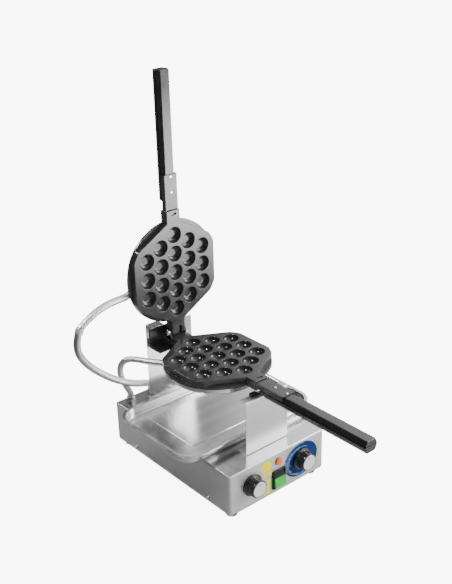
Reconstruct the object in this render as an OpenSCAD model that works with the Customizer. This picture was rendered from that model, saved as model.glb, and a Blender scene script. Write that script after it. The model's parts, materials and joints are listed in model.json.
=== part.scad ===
// Electric egg waffle pan: two hinged cast plates on a flip pivot over a sheet steel base with a drip tray.
// Millimetres. The floor is z = 0, the panel faces -Y, the handles point to -Y and the lid stands open.

/* [Base] */
// Width of the base across the panel
base_w = 250; // [235:5:300]
// Depth of the base from the panel to the rear wall
base_d = 377; // [370:1:430]
// Height of the base shell
base_h = 89.5; // [80:0.5:100]
// Sheet thickness of the base shell and the bottom plate
base_t = 1.2; // [0.8:0.1:2]
// Radius of the upright corners of the base
base_r = 3; // [2:0.5:6]
// Height of the rubber feet under the base
foot_h = 12; // [10:1:20]
// Diameter of a rubber foot at the floor
foot_d = 24; // [18:1:30]
// Distance from a foot centre to the two walls beside it
foot_inset = 19; // [17:1:30]
// Thickness of the printed label on the panel
label_t = 0.4; // [0.2:0.1:0.8]
// Bare metal left round the label
label_margin = 3; // [2:1:8]

/* [Controls] */
// Distance of the timer axis to the left of the middle
timer_x = 70.5; // [60:0.5:80]
// Distance of the thermostat axis to the right of the middle
thermostat_x = 62.5; // [55:0.5:80]
// Height of the knob axes above the underside of the base
knob_z = 48.8; // [40:0.2:52]
// Diameter of the knob skirt
knob_skirt_d = 46; // [40:1:50]
// Thickness of the knob skirt
knob_skirt_t = 4.5; // [3:0.5:6]
// Diameter of the fluted knob body
knob_d = 38; // [34:1:42]
// Length of a knob from the label to its cap
knob_l = 23; // [18:1:30]
// Number of flutes round a knob
flutes = 18; // [12:1:24]
// Diameter of the bright cap of a knob
cap_d = 31.5; // [28:0.5:33]
// Width of the rocker switch bezel
switch_w = 34; // [30:1:38]
// Height of the rocker switch bezel
switch_h = 42; // [38:1:44]
// Distance of the switch to the right of the middle
switch_x = 0; // [-6:0.5:6]
// Height of the switch above the underside of the base
switch_z = 31; // [29:0.5:34]
// Diameter of the indicator lamp bezel
lamp_d = 17; // [12:0.5:20]
// Height of the lamp above the underside of the base
lamp_z = 69.5; // [64:0.5:72]

/* [Tray] */
// Length of the drip tray across the base
tray_l = 350; // [320:2:380]
// Width of the drip tray from front to back
tray_w = 240; // [200:2:244]
// Height of the drip tray
tray_h = 21.5; // [16:0.5:26]
// Sheet thickness of the tray
tray_t = 0.8; // [0.6:0.1:1.5]
// Radius of the tray corners at the rim
tray_r = 45; // [30:1:55]
// Width of the flat rim round the tray
tray_rim = 8; // [6:0.5:12]
// Length of the pressed field in the tray floor
field_l = 224; // [180:2:232]
// Width of the pressed field in the tray floor
field_w = 118; // [90:2:150]
// Height of the pressed field
field_h = 1.5; // [1:0.1:3]

/* [Pans] */
// Height of the flip axis above the floor
axis_h = 246.3; // [242:0.1:260]
// Distance from the middle of the base forward to the pan centre
pan_fwd = 9.6; // [5:0.1:15]
// Distance between two opposite flat sides of the cast plate
plate_flats = 203.4; // [196:0.2:210]
// Diameter of the round part of the casting
plate_d = 222.2; // [214:0.2:226]
// Depth of the raised field above its round ledge
field_step = 12; // [9:0.5:13]
// Full depth of the casting
plate_depth = 17.5; // [16:0.5:20]
// Distance between neighbouring cups
cup_pitch = 40.55; // [38:0.05:41]
// Diameter of a cup at the face
cup_d = 33.6; // [30:0.1:34]
// Depth of a cup
cup_depth = 13; // [10:0.5:13]
// Gap between the two closed faces
face_gap = 0.4; // [0.2:0.1:1]
// Diameter of the sheet cover
cover_d = 200; // [190:1:206]
// Height of the cover behind the casting
cover_h = 17; // [16:0.5:18]
// Radius of the rounded edge of the cover
cover_edge = 4; // [2:0.5:6]
// Sheet thickness of the cover
cover_t = 1; // [0.6:0.1:1.5]

/* [Hinge and pivot] */
// Distance from the pan centre back to the hinge axis
hinge_back = 134.7; // [132:0.1:140]
// Height of the hinge axis above the parting plane
hinge_up = 9.6; // [9:0.1:11]
// Diameter of the hinge pin
pin_d = 6; // [5:0.5:7]
// Diameter of the hinge pin head
pin_head_d = 13; // [10:0.5:14]
// Diameter of the flip pivot shaft
shaft_d = 13; // [10:0.5:14]
// Thickness of a hinge cheek
cheek_t = 3.3; // [2.5:0.1:4]

/* [Handles] */
// Width of the cast neck and of the channel
neck_w = 33; // [30:0.5:34]
// Depth of the cast neck
neck_h = 20; // [18:0.5:20]
// Distance from the pan centre to the end of the neck
neck_reach = 133.6; // [130:0.2:136]
// Distance from the pan centre to the end of the channel
channel_reach = 207.3; // [200:0.2:220]
// Distance of the channel top under the face
channel_drop = 3; // [2:0.1:4]
// Height of the channel walls
channel_h = 10; // [8:0.5:12]
// Sheet thickness of the channel
channel_t = 1.5; // [1:0.1:2]
// Distance from the pan centre to the inner end of the handle
grip_start = 153; // [150:0.5:158]
// Distance from the pan centre to the outer end of the handle
grip_reach = 411.4; // [380:0.2:440]
// Greatest width of the handle
grip_w = 32; // [28:0.5:33]
// Height of the handle
grip_h = 25; // [22:0.5:28]
// Distance between the two rivets as a share of the channel's length past the end of the handle
rivet_share = 0.59; // [0.4:0.01:0.7]
// Diameter of a rivet head
rivet_d = 6; // [5:0.5:8]

/* [Supports] */
// Distance from the middle of the base forward to the front support
support_fwd = 157; // [156:0.5:160]
// Width of the front support
support_w = 109; // [90:1:120]
// Sheet thickness of the two supports
support_t = 1.5; // [1:0.1:2]
// Depth of the top flange of the front support
support_top = 18; // [16:0.5:22]
// Depth of the bottom flange of the front support
support_foot = 29; // [24:0.5:31]
// Clearance round the turning neck
saddle_gap = 0.6; // [0.4:0.1:1]
// Length of the rest saddle
saddle_l = 7; // [6:0.5:9]
// Width of the rest saddle
saddle_w = 62; // [58:1:70]
// Distance from the middle of the base back to the rear upright
upright_back = 150.6; // [150.4:0.1:152]
// Width of the rear upright
upright_w = 120; // [110:1:124]
// Width of the taller left part of the upright
tab_w = 30; // [26:1:32]
// Height of the left part of the upright above the flip axis
tab_up = 32.5; // [31:0.5:36]
// Height of the right part of the upright above the flip axis
right_up = 17; // [15:0.5:18]
// Depth of the flange on the left part
tab_fwd = 25; // [20:0.5:26]
// Depth of the foot flange of the upright
upright_foot = 17; // [14:0.5:20]
// Distance of the bracket's left end from the flip axis
bracket_left = 52; // [45:0.5:56]
// Distance of the bracket's right end from the flip axis
bracket_right = 30; // [26:0.5:31]
// Distance of the shelf's right end from the flip axis
shelf_right = 12; // [10:0.5:13]
// Distance of the bracket shelf under the flip axis
shelf_down = 23.8; // [23.4:0.1:25]
// Depth of the bracket shelf
shelf_l = 35; // [30:0.5:36]
// Sheet thickness of the bracket
bracket_t = 2; // [1.5:0.1:2.5]

/* [Hoses] */
// Diameter of the hose from the upper cover
upper_hose_d = 15; // [12:0.5:15]
// Diameter of the hose from the lower cover
lower_hose_d = 13; // [11:0.5:14]
// Diameter of the hose glands on the base
gland_d = 21; // [18:0.5:22]
// Height of the hose glands on the base
gland_h = 9; // [7:0.5:12]
// Length of the ferrule that joins the two lengths of the upper hose
union_l = 10; // [8:1:14]

/* [Hidden] */

// Smoothness of large, middle and small round shapes
big_fn = 96;
mid_fn = 48;
small_fn = 24;
// Overlap that makes a cut run clear through a face
eps = 0.5;
// Clearance of a moving fit
run_gap = 0.15;
// Clearance of a piece that is pressed or screwed in place
seat_gap = 0.05;

// Heights in the base
base_top = foot_h + base_h;
front_y = -base_d / 2;
back_y = base_d / 2;

// Screws shared by the sheet parts
screw_d = 4;
screw_head_d = 8;
screw_head_h = 2.4;
screw_l = 8;
hole_gap = 0.2;

// Pan frame: origin at the middle of the face, the body below it, the handle along -Y
part_z = axis_h;
hinge_y = hinge_back - pan_fwd;
hinge_z = part_z + hinge_up;
hinge_local_lower = hinge_up + face_gap / 2;
hinge_local_upper = hinge_up - face_gap / 2;
cup_sphere = (cup_d * cup_d / 4 + cup_depth * cup_depth) / (2 * cup_depth);
pan_back = plate_depth + cover_h;
neck_tenon_l = 15;
knuckle_r = hinge_local_upper - run_gap;
slot_from = 2;
slot_to = 8;
slot_l = 12;
cheek_gap = 0.5;
cheek_x = neck_w / 2 + cheek_gap;
hinge_neck_h = 6;
hinge_neck_back = 7;
boss_r = 11;
boss_l = 5;
boss_gap = 1.2;
boss_y = hinge_back + neck_h - hinge_local_upper + boss_gap;
heater_r = 62;
heater_rod = 4;
stud_r = 40;
stud_d = 10;
stud_angles = [90, 210, 330];
stud_gap = 0.5;
post_deep = 12;
post_l = 9.6;
insulation_in = 12;
insulation_t = 3.5;
hinge_root = 10;
cover_screw_l = 10;
cover_head_h = 2;

// Pivot
leg_y = upright_back - bracket_t;
bush_wall = 2;
bush_flange_r = 12;
bush_flange_t = 2;
washer_t = 1.5;
nut_t = 6;
shaft_out = 14;
shaft_end = upright_back + support_t + shaft_out;
nut_gap = 1.2;
bush_lip = 1;

// Hose routes: middle line points from the cover to the base
gland_local = 25.5;
gland_r = 7.9;
gland_reach = 6;
lower_gland_r = 7.1;
gland_floor = 2;
cover_r = cover_d / 2;
cover_gap = 1;
neck_root = cover_r + cover_gap;
upper_gland_angle = 195;
lower_gland_angle = 129.5;
open_face_y = hinge_y - hinge_up + face_gap / 2;
open_centre_z = hinge_z + hinge_back;
hose_gap = 0.3;
upper_gland_r = cover_r + gland_reach + hose_gap;
upper_out = [cos(upper_gland_angle), 0, sin(upper_gland_angle)];
lower_out = [cos(lower_gland_angle), sin(lower_gland_angle), 0];
upper_start = [0, open_face_y + gland_local, open_centre_z] + upper_gland_r * upper_out;
lower_start = [0, -pan_fwd, part_z - face_gap / 2 - gland_local] + upper_gland_r * lower_out;
upper_gland_x = -38;
lower_gland_x = -94;
gland_in = 13;
upper_gland_base = [upper_gland_x, back_y - gland_in, base_top];
lower_gland_base = [lower_gland_x, back_y - gland_in, base_top];
gland_top = [0, 0, gland_h + hose_gap];
lead_l = 7;
hose_lead = [0, 0, gland_h + lead_l];
hose_bend = [-2.5, -0.6, gland_h + 2 * lead_l];
start_l = 10;
union_point = [-225, 140, 322];
union_way = unit([-20, 0, -40]);
upper_route = [upper_start, upper_start + start_l * upper_out, [-130, 141, 359], [-154, 141, 359.5],
               [-178, 140, 355], [-203, 140, 342], union_point - lead_l * union_way,
               union_point - hose_gap * union_way];
drop_route = [union_point + hose_gap * union_way, union_point + lead_l * union_way, [-236, 140, 298],
              [-235, 140, 277], [-225, 140, 255], [-202, 141, 229], [-179, 142, 208], [-154, 143, 186],
              [-131, 145, 171], [-104, 151, 155], [-82, 161, 140], [-60, 169.5, 131.5],
              upper_gland_base + hose_bend, upper_gland_base + hose_lead, upper_gland_base + gland_top];
lower_route = [lower_start, lower_start + start_l * lower_out, [-93, 101, 220], [-107, 121, 226],
               [-119, 143, 227], [-126, 158, 211], [-128, 161, 192], [-127, 162, 172], [-119, 167, 145],
               lower_gland_base + hose_bend, lower_gland_base + hose_lead, lower_gland_base + gland_top];
hose_fn = 10;
run_rings = 9;
drop_rings = 19;
lower_rings = 15;
wire_rings = 9;
wire_d = 4;
wire_fn = 8;

// Dimensions of the small fittings
control_bush_d = 9;
bezel_lap = 2;
switch_in_w = switch_w - 2 * bezel_lap;
switch_in_h = switch_h - 2 * bezel_lap;
lamp_in_d = lamp_d - 2 * bezel_lap;
lamp_wall = 1;
gland_in_d = 14;
support_screw_in = 20.5;
screw_edge = 6;
upright_screw_in = 15;
support_screw_x = [-support_w / 2 + support_screw_in, support_w / 2 - support_screw_in];
support_screw_y = -support_fwd + support_foot - screw_edge;
upright_screw_x = [-upright_w / 2 + upright_screw_in, 0, upright_w / 2 - upright_screw_in];
upright_screw_y = upright_back - upright_foot / 2;
cord_x = 70;
cord_z = 30;
vent_n = 8;
vent_x = -60;
vent_y = -70;
vent_pitch = 10;
vent_w = 4;
vent_z = 25;
vent_h = 40;
lip_h = 12;
lip_screw_y = 120;
saddle_floor = 1;
saddle_up = 7;
sweep_r = sqrt(neck_w * neck_w / 4 + (neck_h + face_gap / 2) * (neck_h + face_gap / 2));
support_z = axis_h - sweep_r - saddle_gap - saddle_floor;
saddle_screw_in = 5;
saddle_screw_d = 6;
saddle_thread = 4;
saddle_inset = 1;
saddle_screw_x = [-saddle_w / 2 + saddle_screw_in, saddle_w / 2 - saddle_screw_in];
saddle_y = -support_fwd + support_top - saddle_l / 2 - saddle_inset;
bush_d = shaft_d + 2 * bush_wall + 2 * run_gap;
bolt_left_in = 36;
bolt_up = 7;
bolt_nut_t = 3;
leg_cut = 1;
bracket_bolt_x = [-bracket_left + bolt_left_in, bracket_right - screw_edge];
bracket_bolt_z = axis_h - shelf_down + bolt_up;
body_w = 44;
timer_l = 34;
thermostat_d = 40;
thermostat_l = 22;
spindle_d = 6;
spindle_in = 12;
bush_out = 3;
nut_d = 15;
nut_in = 0.5;
nut_room = 2;
nut_room_deep = 1;
spindle_short = 1;
flute_end = 1;
pip_d = 3;
pip_in = 2;
foot_bore_gap = 1;
foot_x = base_w / 2 - foot_inset;
foot_y = base_d / 2 - foot_inset;
foot_at = [[0, 0], [-foot_x, -foot_y], [foot_x, -foot_y], [-foot_x, foot_y], [foot_x, foot_y]];
knob_skirt_gap = 0.8;
cap_in = 1;
cap_t = 1.6;
flute_d = 3;
bezel_t = 4;
rocker_gap = 0.3;
bezel_wall = 3.5;
switch_l = 22;
rocker_out = 6;
rocker_mid = 1.5;
rocker_sunk = 2.5;
rocker_in = 8;
rocker_end = 1.5;
rocker_break = 5;
lamp_rim = 1;
lamp_l = 16;
lens_out = 3.5;
term = [60, 24, 20];
term_y = 60;
term_hole_gap = 1;
stud_x = 60;
gland_bore = 9;
gland_thread = 5;
gland_nut_t = 4;
tray_lip = 3;
tray_y = -1;
mark_x = 5;
mark_y = 126;
mark_d = 5;
mark_l = 10;
mark_deep = 6;
mark_turn = 160;
cheek_round = 7;
gland_neck_r = 5;
rivet_in = 4.6;
channel_gap = 1.5;
rivet_pitch = rivet_share * (channel_reach - grip_start);
rivet_y = [channel_reach - rivet_in - rivet_pitch, channel_reach - rivet_in];
rivet_h = 1;
rivet_l = 18;
grip_gap = 0.4;
grip_top = channel_drop + channel_t + grip_gap;
grip_bevel = 5.5;
grip_flat = grip_w / 2 - grip_bevel;
side_bevel = 1.2;
grip_nip = side_bevel + max(0, (grip_w - neck_w) / 2 + stud_gap);
grip_side_a = channel_h - channel_t;
grip_side_b = channel_h + channel_t;
grip_end = 5;
end_inset = 3;
union_wall = 0.6;
union_gap = 0.6;
pin_head_t = 5.5;
upper_gland_angle_local = -upper_gland_angle;

// Wire routes inside the base, from the terminal block
wire_z = foot_h + base_t + term[2];
wire_y = term_y + term[1] / 2;
wire_step = term[0] / 5;
wire_lead = 14;
timer_wire_end = [-timer_x, front_y + base_t + timer_l + hose_gap, foot_h + knob_z];
thermostat_wire_end = [thermostat_x, front_y + base_t + thermostat_l + hose_gap, foot_h + knob_z];
inlet_wire_end = [cord_x, back_y - base_t - gland_thread - hose_gap, foot_h + cord_z];
timer_wire = [[-wire_step, wire_y, wire_z - 4], [-wire_step, wire_y, wire_z + 2],
              [-wire_step, wire_y - 3, wire_z + 12], [-30, 0, wire_z + 20], [-58, -70, wire_z + 16],
              timer_wire_end + [0, wire_lead, 0], timer_wire_end];
thermostat_wire = [[wire_step, wire_y, wire_z - 4], [wire_step, wire_y, wire_z + 2],
                   [wire_step, wire_y - 3, wire_z + 12], [30, 0, wire_z + 20], [56, -90, wire_z + 16],
                   thermostat_wire_end + [0, wire_lead, 0], thermostat_wire_end];
inlet_wire = [[2 * wire_step, wire_y, wire_z - 4], [2 * wire_step, wire_y, wire_z + 2],
              [2 * wire_step + 1, wire_y + 3, wire_z + 10], [45, 130, wire_z + 14],
              inlet_wire_end - [0, wire_lead, 0], inlet_wire_end];

steel = [0.78, 0.79, 0.8];
bright = [0.9, 0.9, 0.92];
iron = [0.22, 0.22, 0.23];
black = [0.1, 0.1, 0.11];
dark = [0.2, 0.2, 0.21];
grey = [0.5, 0.5, 0.5];

// A box with round upright corners, its base on z = 0
module round_box(w, d, h, r)
{
  translate([-w / 2 + r, -d / 2, 0])
    cube([w - 2 * r, d, h]);
  translate([-w / 2, -d / 2 + r, 0])
    cube([w, d - 2 * r, h]);
  for (sx = [-1, 1], sy = [-1, 1])
    translate([sx * (w / 2 - r), sy * (d / 2 - r), 0])
      cylinder(r = r, h = h, $fn = mid_fn);
}

// A cylinder whose axis points along Y, from y0 on
module rod_y(d, y0, l, fn = mid_fn)
{
  translate([0, y0 + l, 0])
    rotate([90, 0, 0])
      cylinder(d = d, h = l, $fn = fn);
}

// A cylinder whose axis points along X, from x0 on
module rod_x(d, x0, l, fn = mid_fn)
{
  translate([x0, 0, 0])
    rotate([0, 90, 0])
      cylinder(d = d, h = l, $fn = fn);
}

// A pan head screw, head up, its seat on z = 0 and its shank below
module screw(d = screw_d, l = screw_l, head_d = screw_head_d, head_h = screw_head_h)
{
  difference()
  {
    cylinder(d = head_d, h = head_h, $fn = small_fn);
    translate([0, 0, head_h / 2])
      cylinder(d = d * 0.8, h = head_h, $fn = 6);
  }
  translate([0, 0, -l])
    cylinder(d = d, h = l, $fn = small_fn);
}

// Direction of a vector
function unit(v) = v / norm(v);

// A point on the smooth curve through four points
function smooth(a, b, c, d, t) =
  0.5 * (2 * b + (c - a) * t + (2 * a - 5 * b + 4 * c - d) * t * t + (3 * b - a - 3 * c + d) * t * t * t);

// The route's point at parameter u, counted in points
function along(r, u) =
  let (n = len(r), i = min(floor(u), n - 2), t = u - i,
       a = r[max(i - 1, 0)], b = r[i], c = r[i + 1], d = r[min(i + 2, n - 1)])
  smooth(a, b, c, d, t);

// One tube round a route
module tube(route, d, rings, fn, ref)
{
  step = (len(route) - 1) / (rings - 1);
  pts = [for (k = [0:rings - 1])
    let (u = k * step, p = along(route, u),
         q = along(route, min(u + 0.05, len(route) - 1)) - along(route, max(u - 0.05, 0)),
         t = unit(q), s = unit(cross(ref, t)), v = cross(t, s))
    for (j = [0:fn - 1]) p + d / 2 * (cos(360 * j / fn) * s + sin(360 * j / fn) * v)];
  side = [for (k = [0:rings - 2], j = [0:fn - 1])
    each [[k * fn + j, (k + 1) * fn + j, k * fn + (j + 1) % fn],
          [k * fn + (j + 1) % fn, (k + 1) * fn + j, (k + 1) * fn + (j + 1) % fn]]];
  first = [for (j = [0:fn - 1]) j];
  last = [for (j = [fn - 1:-1:0]) (rings - 1) * fn + j];
  polyhedron(points = pts, faces = concat([first], side, [last]), convexity = 8);
}

// Places a pan-frame shape as the lower pan
module place_lower()
{
  translate([0, -pan_fwd, part_z - face_gap / 2])
    children();
}

// Places a pan-frame shape as the open lid
module place_upper()
{
  translate([0, hinge_y, hinge_z])
    rotate([-90, 0, 0])
      translate([0, -hinge_back, face_gap / 2 - hinge_up])
        mirror([0, 0, 1])
          children();
}

// Base

module base_shell()
{
  color(steel)
    difference()
    {
      translate([0, 0, foot_h])
        round_box(base_w, base_d, base_h, base_r);
      translate([0, 0, foot_h - eps])
        round_box(base_w - 2 * base_t, base_d - 2 * base_t, base_h - base_t + eps, base_r - base_t);
      for (x = [-timer_x, thermostat_x])
        translate([x, 0, foot_h + knob_z])
          rod_y(control_bush_d + 2 * hole_gap, front_y - eps, base_t + 2 * eps);
      translate([switch_x - switch_in_w / 2 - hole_gap, front_y - eps,
                 foot_h + switch_z - switch_in_h / 2 - hole_gap])
        cube([switch_in_w + 2 * hole_gap, base_t + 2 * eps, switch_in_h + 2 * hole_gap]);
      translate([0, 0, foot_h + lamp_z])
        rod_y(lamp_in_d + 2 * hole_gap, front_y - eps, base_t + 2 * eps);
      for (p = [upper_gland_base, lower_gland_base])
        translate([p[0], p[1], base_top - base_t - eps])
          cylinder(d = gland_in_d + 2 * hole_gap, h = base_t + 2 * eps, $fn = mid_fn);
      for (x = support_screw_x)
        translate([x, support_screw_y, base_top - base_t - eps])
          cylinder(d = screw_d + 2 * hole_gap, h = base_t + 2 * eps, $fn = small_fn);
      for (x = upright_screw_x)
        translate([x, upright_screw_y, base_top - base_t - eps])
          cylinder(d = screw_d + 2 * hole_gap, h = base_t + 2 * eps, $fn = small_fn);
      translate([cord_x, 0, foot_h + cord_z])
        rod_y(gland_in_d + 2 * hole_gap, back_y - base_t - eps, base_t + 2 * eps);
      for (k = [0:vent_n - 1])
        translate([vent_x + k * vent_pitch, back_y - base_t - eps, foot_h + vent_z])
          cube([vent_w, base_t + 2 * eps, vent_h]);
      for (sx = [-1, 1], sy = [-1, 1])
        translate([sx * (base_w / 2 - base_t - eps), sy * lip_screw_y, foot_h + lip_h / 2 + base_t])
          rotate([0, 90 * sx, 0])
            cylinder(d = screw_d + 2 * hole_gap, h = base_t + 2 * eps, $fn = small_fn);
    }
}

module bottom_plate()
{
  w = base_w - 2 * base_t - 2 * hole_gap;
  d = base_d - 2 * base_t - 2 * hole_gap;
  color(steel)
    difference()
    {
      translate([0, 0, foot_h])
        round_box(w, d, lip_h + base_t, base_r - base_t);
      translate([0, 0, foot_h + base_t])
        round_box(w - 2 * base_t, d - 2 * base_t, lip_h + eps, base_t / 2);
      for (p = foot_at)
        translate([p[0], p[1], foot_h - eps])
          cylinder(d = screw_d + 2 * hole_gap, h = base_t + 2 * eps, $fn = small_fn);
      for (sx = [-1, 1], sy = [-1, 1])
        translate([sx * (w / 2 - base_t - eps), sy * lip_screw_y, foot_h + lip_h / 2 + base_t])
          rotate([0, 90 * sx, 0])
            cylinder(d = screw_d + 2 * hole_gap, h = base_t + 2 * eps, $fn = small_fn);
      translate([switch_x - switch_w / 2, front_y, foot_h + switch_z - switch_h / 2])
        cube([switch_w, switch_l, switch_h]);
      for (k = [0:vent_n - 1])
        translate([vent_x + k * vent_pitch, vent_y - vent_h / 2, foot_h - eps])
          cube([vent_w, vent_h, base_t + 2 * eps]);
    }
}

module bottom_screws()
{
  color(bright)
    for (sx = [-1, 1], sy = [-1, 1])
      translate([sx * base_w / 2, sy * lip_screw_y, foot_h + lip_h / 2 + base_t])
        rotate([0, 90 * sx, 0])
          screw();
}

module feet()
{
  color(black)
    for (p = foot_at)
      translate([p[0], p[1], 0])
        difference()
        {
          cylinder(d1 = foot_d, d2 = foot_d - 3 * base_t, h = foot_h, $fn = mid_fn);
          translate([0, 0, -eps])
            cylinder(d = screw_head_d + foot_bore_gap, h = foot_h / 2 + eps, $fn = small_fn);
          cylinder(d = screw_d + 2 * hole_gap, h = foot_h + eps, $fn = small_fn);
        }
}

module foot_screws()
{
  color(bright)
    for (p = foot_at)
      translate([p[0], p[1], foot_h / 2])
        rotate([180, 0, 0])
          screw(l = foot_h);
}

module panel_label()
{
  w = base_w - 2 * label_margin;
  h = base_h - 2 * label_margin;
  color(grey)
    difference()
    {
      translate([0, front_y, foot_h + label_margin + h / 2])
        rotate([90, 0, 0])
          round_box(w, h, label_t, base_r);
      for (x = [-timer_x, thermostat_x])
        translate([x, 0, foot_h + knob_z])
          rod_y(control_bush_d + 2 * hole_gap, front_y - label_t - eps, label_t + 2 * eps);
      translate([switch_x - switch_in_w / 2 - hole_gap, front_y - label_t - eps,
                 foot_h + switch_z - switch_in_h / 2 - hole_gap])
        cube([switch_in_w + 2 * hole_gap, label_t + 2 * eps, switch_in_h + 2 * hole_gap]);
      translate([0, 0, foot_h + lamp_z])
        rod_y(lamp_in_d + 2 * hole_gap, front_y - label_t - eps, label_t + 2 * eps);
    }
}

module front_support()
{
  color(steel)
    difference()
    {
      translate([-support_w / 2, -support_fwd, base_top])
      {
        cube([support_w, support_t, support_z - base_top]);
        cube([support_w, support_foot, support_t]);
        translate([0, 0, support_z - base_top - support_t])
          cube([support_w, support_top, support_t]);
      }
      for (x = support_screw_x)
        translate([x, support_screw_y, base_top - eps])
          cylinder(d = screw_d + 2 * hole_gap, h = support_t + 2 * eps, $fn = small_fn);
      for (x = saddle_screw_x)
        translate([x, saddle_y, support_z - support_t - eps])
          cylinder(d = screw_d + 2 * hole_gap, h = support_t + 2 * eps, $fn = small_fn);
    }
}

module front_support_screws()
{
  color(bright)
  {
    for (x = support_screw_x)
      translate([x, support_screw_y, base_top + support_t])
        screw();
    for (x = saddle_screw_x)
      translate([x, saddle_y, support_z - support_t])
        rotate([180, 0, 0])
          screw(l = support_t + saddle_floor + saddle_thread, head_d = saddle_screw_d);
  }
}

module rest_saddle()
{
  color(black)
    difference()
    {
      translate([-saddle_w / 2, saddle_y - saddle_l / 2, support_z])
        cube([saddle_w, saddle_l, saddle_up]);
      translate([0, 0, axis_h])
        rod_y(2 * (sweep_r + saddle_gap), saddle_y - saddle_l, 2 * saddle_l, big_fn);
      for (x = saddle_screw_x)
        translate([x, saddle_y, support_z - eps])
          cylinder(d = screw_d + 2 * seat_gap, h = saddle_floor + saddle_thread + 2 * eps, $fn = small_fn);
    }
}

module rear_upright()
{
  color(steel)
    difference()
    {
      union()
      {
        translate([-upright_w / 2, upright_back, base_top])
        {
          cube([tab_w, support_t, axis_h + tab_up - base_top]);
          cube([upright_w, support_t, axis_h + right_up - base_top]);
          translate([0, support_t - upright_foot, 0])
            cube([upright_w, upright_foot, support_t]);
        }
        translate([-upright_w / 2, upright_back + support_t - tab_fwd, axis_h + tab_up - support_t])
          cube([tab_w, tab_fwd, support_t]);
      }
      translate([0, 0, axis_h])
        rod_y(bush_d + 2 * seat_gap, upright_back - eps, support_t + 2 * eps);
      for (x = upright_screw_x)
        translate([x, upright_screw_y, base_top - eps])
          cylinder(d = screw_d + 2 * hole_gap, h = support_t + 2 * eps, $fn = small_fn);
      for (x = bracket_bolt_x)
        translate([x, 0, bracket_bolt_z])
          rod_y(screw_d + 2 * hole_gap, upright_back - eps, support_t + 2 * eps, small_fn);
    }
}

module upright_screws()
{
  color(bright)
    for (x = upright_screw_x)
      translate([x, upright_screw_y, base_top + support_t])
        screw();
}

module pivot_bracket()
{
  color(dark)
    difference()
    {
      union()
      {
        translate([-bracket_left, leg_y, axis_h - shelf_down - bracket_t])
          cube([bracket_left + shelf_right, bracket_t, shelf_down + bracket_t + right_up]);
        translate([-bracket_left, leg_y, axis_h - shelf_down + leg_cut])
          cube([bracket_left + bracket_right, bracket_t, shelf_down - leg_cut + right_up]);
        translate([-bracket_left, upright_back - shelf_l, axis_h - shelf_down - bracket_t])
          cube([bracket_left + shelf_right, shelf_l, bracket_t]);
      }
      translate([0, 0, axis_h])
        rod_y(bush_d + 2 * seat_gap, leg_y - eps, bracket_t + 2 * eps);
      for (x = bracket_bolt_x)
        translate([x, 0, bracket_bolt_z])
          rod_y(screw_d + 2 * hole_gap, leg_y - eps, bracket_t + 2 * eps, small_fn);
    }
}

module bracket_bolts()
{
  color(dark)
    for (x = bracket_bolt_x)
      translate([x, upright_back + support_t, bracket_bolt_z])
      {
        rotate([-90, 0, 0])
          screw(l = support_t + bracket_t + bolt_nut_t);
        translate([0, -support_t - bracket_t, 0])
          rotate([90, 0, 0])
            difference()
            {
              cylinder(d = screw_head_d, h = bolt_nut_t, $fn = 6);
              translate([0, 0, -eps])
                cylinder(d = screw_d + 2 * seat_gap, h = bolt_nut_t + 2 * eps, $fn = small_fn);
            }
      }
}

module pivot_bush()
{
  color(dark)
    translate([0, 0, axis_h])
      difference()
      {
        union()
        {
          rod_y(bush_d, leg_y, bracket_t + support_t + bush_lip);
          rod_y(2 * bush_flange_r, leg_y - bush_flange_t, bush_flange_t);
        }
        rod_y(shaft_d + 2 * run_gap, leg_y - bush_flange_t - eps, 3 * bush_flange_t + support_t + 2 * eps);
      }
}

// Controls inside the panel

module timer_body()
{
  color(black)
    translate([-timer_x, 0, foot_h + knob_z])
    {
      difference()
      {
        translate([-body_w / 2, front_y + base_t, -body_w / 2])
          cube([body_w, timer_l, body_w]);
        rod_y(spindle_d + 2 * run_gap, front_y - eps, spindle_in + base_t + eps, small_fn);
      }
      control_bush();
    }
}

// Threaded bush of a control, through the panel
module control_bush()
{
  difference()
  {
    rod_y(control_bush_d, front_y - label_t - bush_out, base_t + label_t + bush_out, small_fn);
    rod_y(spindle_d + 2 * run_gap, front_y - label_t - bush_out - eps, base_t + label_t + bush_out + 2 * eps,
          small_fn);
  }
}

module thermostat_body()
{
  color(grey)
    translate([thermostat_x, 0, foot_h + knob_z])
    {
      difference()
      {
        rod_y(thermostat_d, front_y + base_t, thermostat_l);
        rod_y(spindle_d + 2 * run_gap, front_y - eps, spindle_in + base_t + eps, small_fn);
      }
      control_bush();
    }
}

module control_nuts()
{
  color(bright)
    for (x = [-timer_x, thermostat_x])
      translate([x, 0, foot_h + knob_z])
        difference()
        {
          rod_y(nut_d, front_y - label_t - bush_out + nut_in, bush_out - nut_in, 6);
          rod_y(control_bush_d + 2 * seat_gap, front_y - label_t - bush_out - eps, bush_out + 2 * eps,
                small_fn);
        }
}

module knob(x)
{
  y0 = front_y - label_t - knob_skirt_gap;
  translate([x, 0, foot_h + knob_z])
    difference()
    {
      union()
      {
        rod_y(knob_skirt_d, y0 - knob_skirt_t, knob_skirt_t, big_fn);
        rod_y(knob_d, y0 - knob_l, knob_l, big_fn);
        rod_y(spindle_d, y0 - knob_l / 2, knob_l / 2 + knob_skirt_gap + label_t + base_t + spindle_in
              - spindle_short, small_fn);
      }
      difference()
      {
        rod_y(nut_d + 2 * nut_room, y0 - bush_out - nut_room_deep, bush_out + nut_room_deep + eps);
        rod_y(spindle_d, y0 - knob_l, 2 * knob_l, small_fn);
      }
      rod_y(cap_d + 2 * seat_gap, y0 - knob_l - eps, cap_in + eps);
      for (k = [0:flutes - 1])
        rotate([0, 360 * (k + 0.5) / flutes, 0])
          translate([knob_d / 2 + flute_d / 4, 0, 0])
            rod_y(flute_d, y0 - knob_l - eps, knob_l - knob_skirt_t + eps - flute_end, small_fn);
    }
}

module timer_knob()
{
  color(black)
    knob(-timer_x);
}

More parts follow.
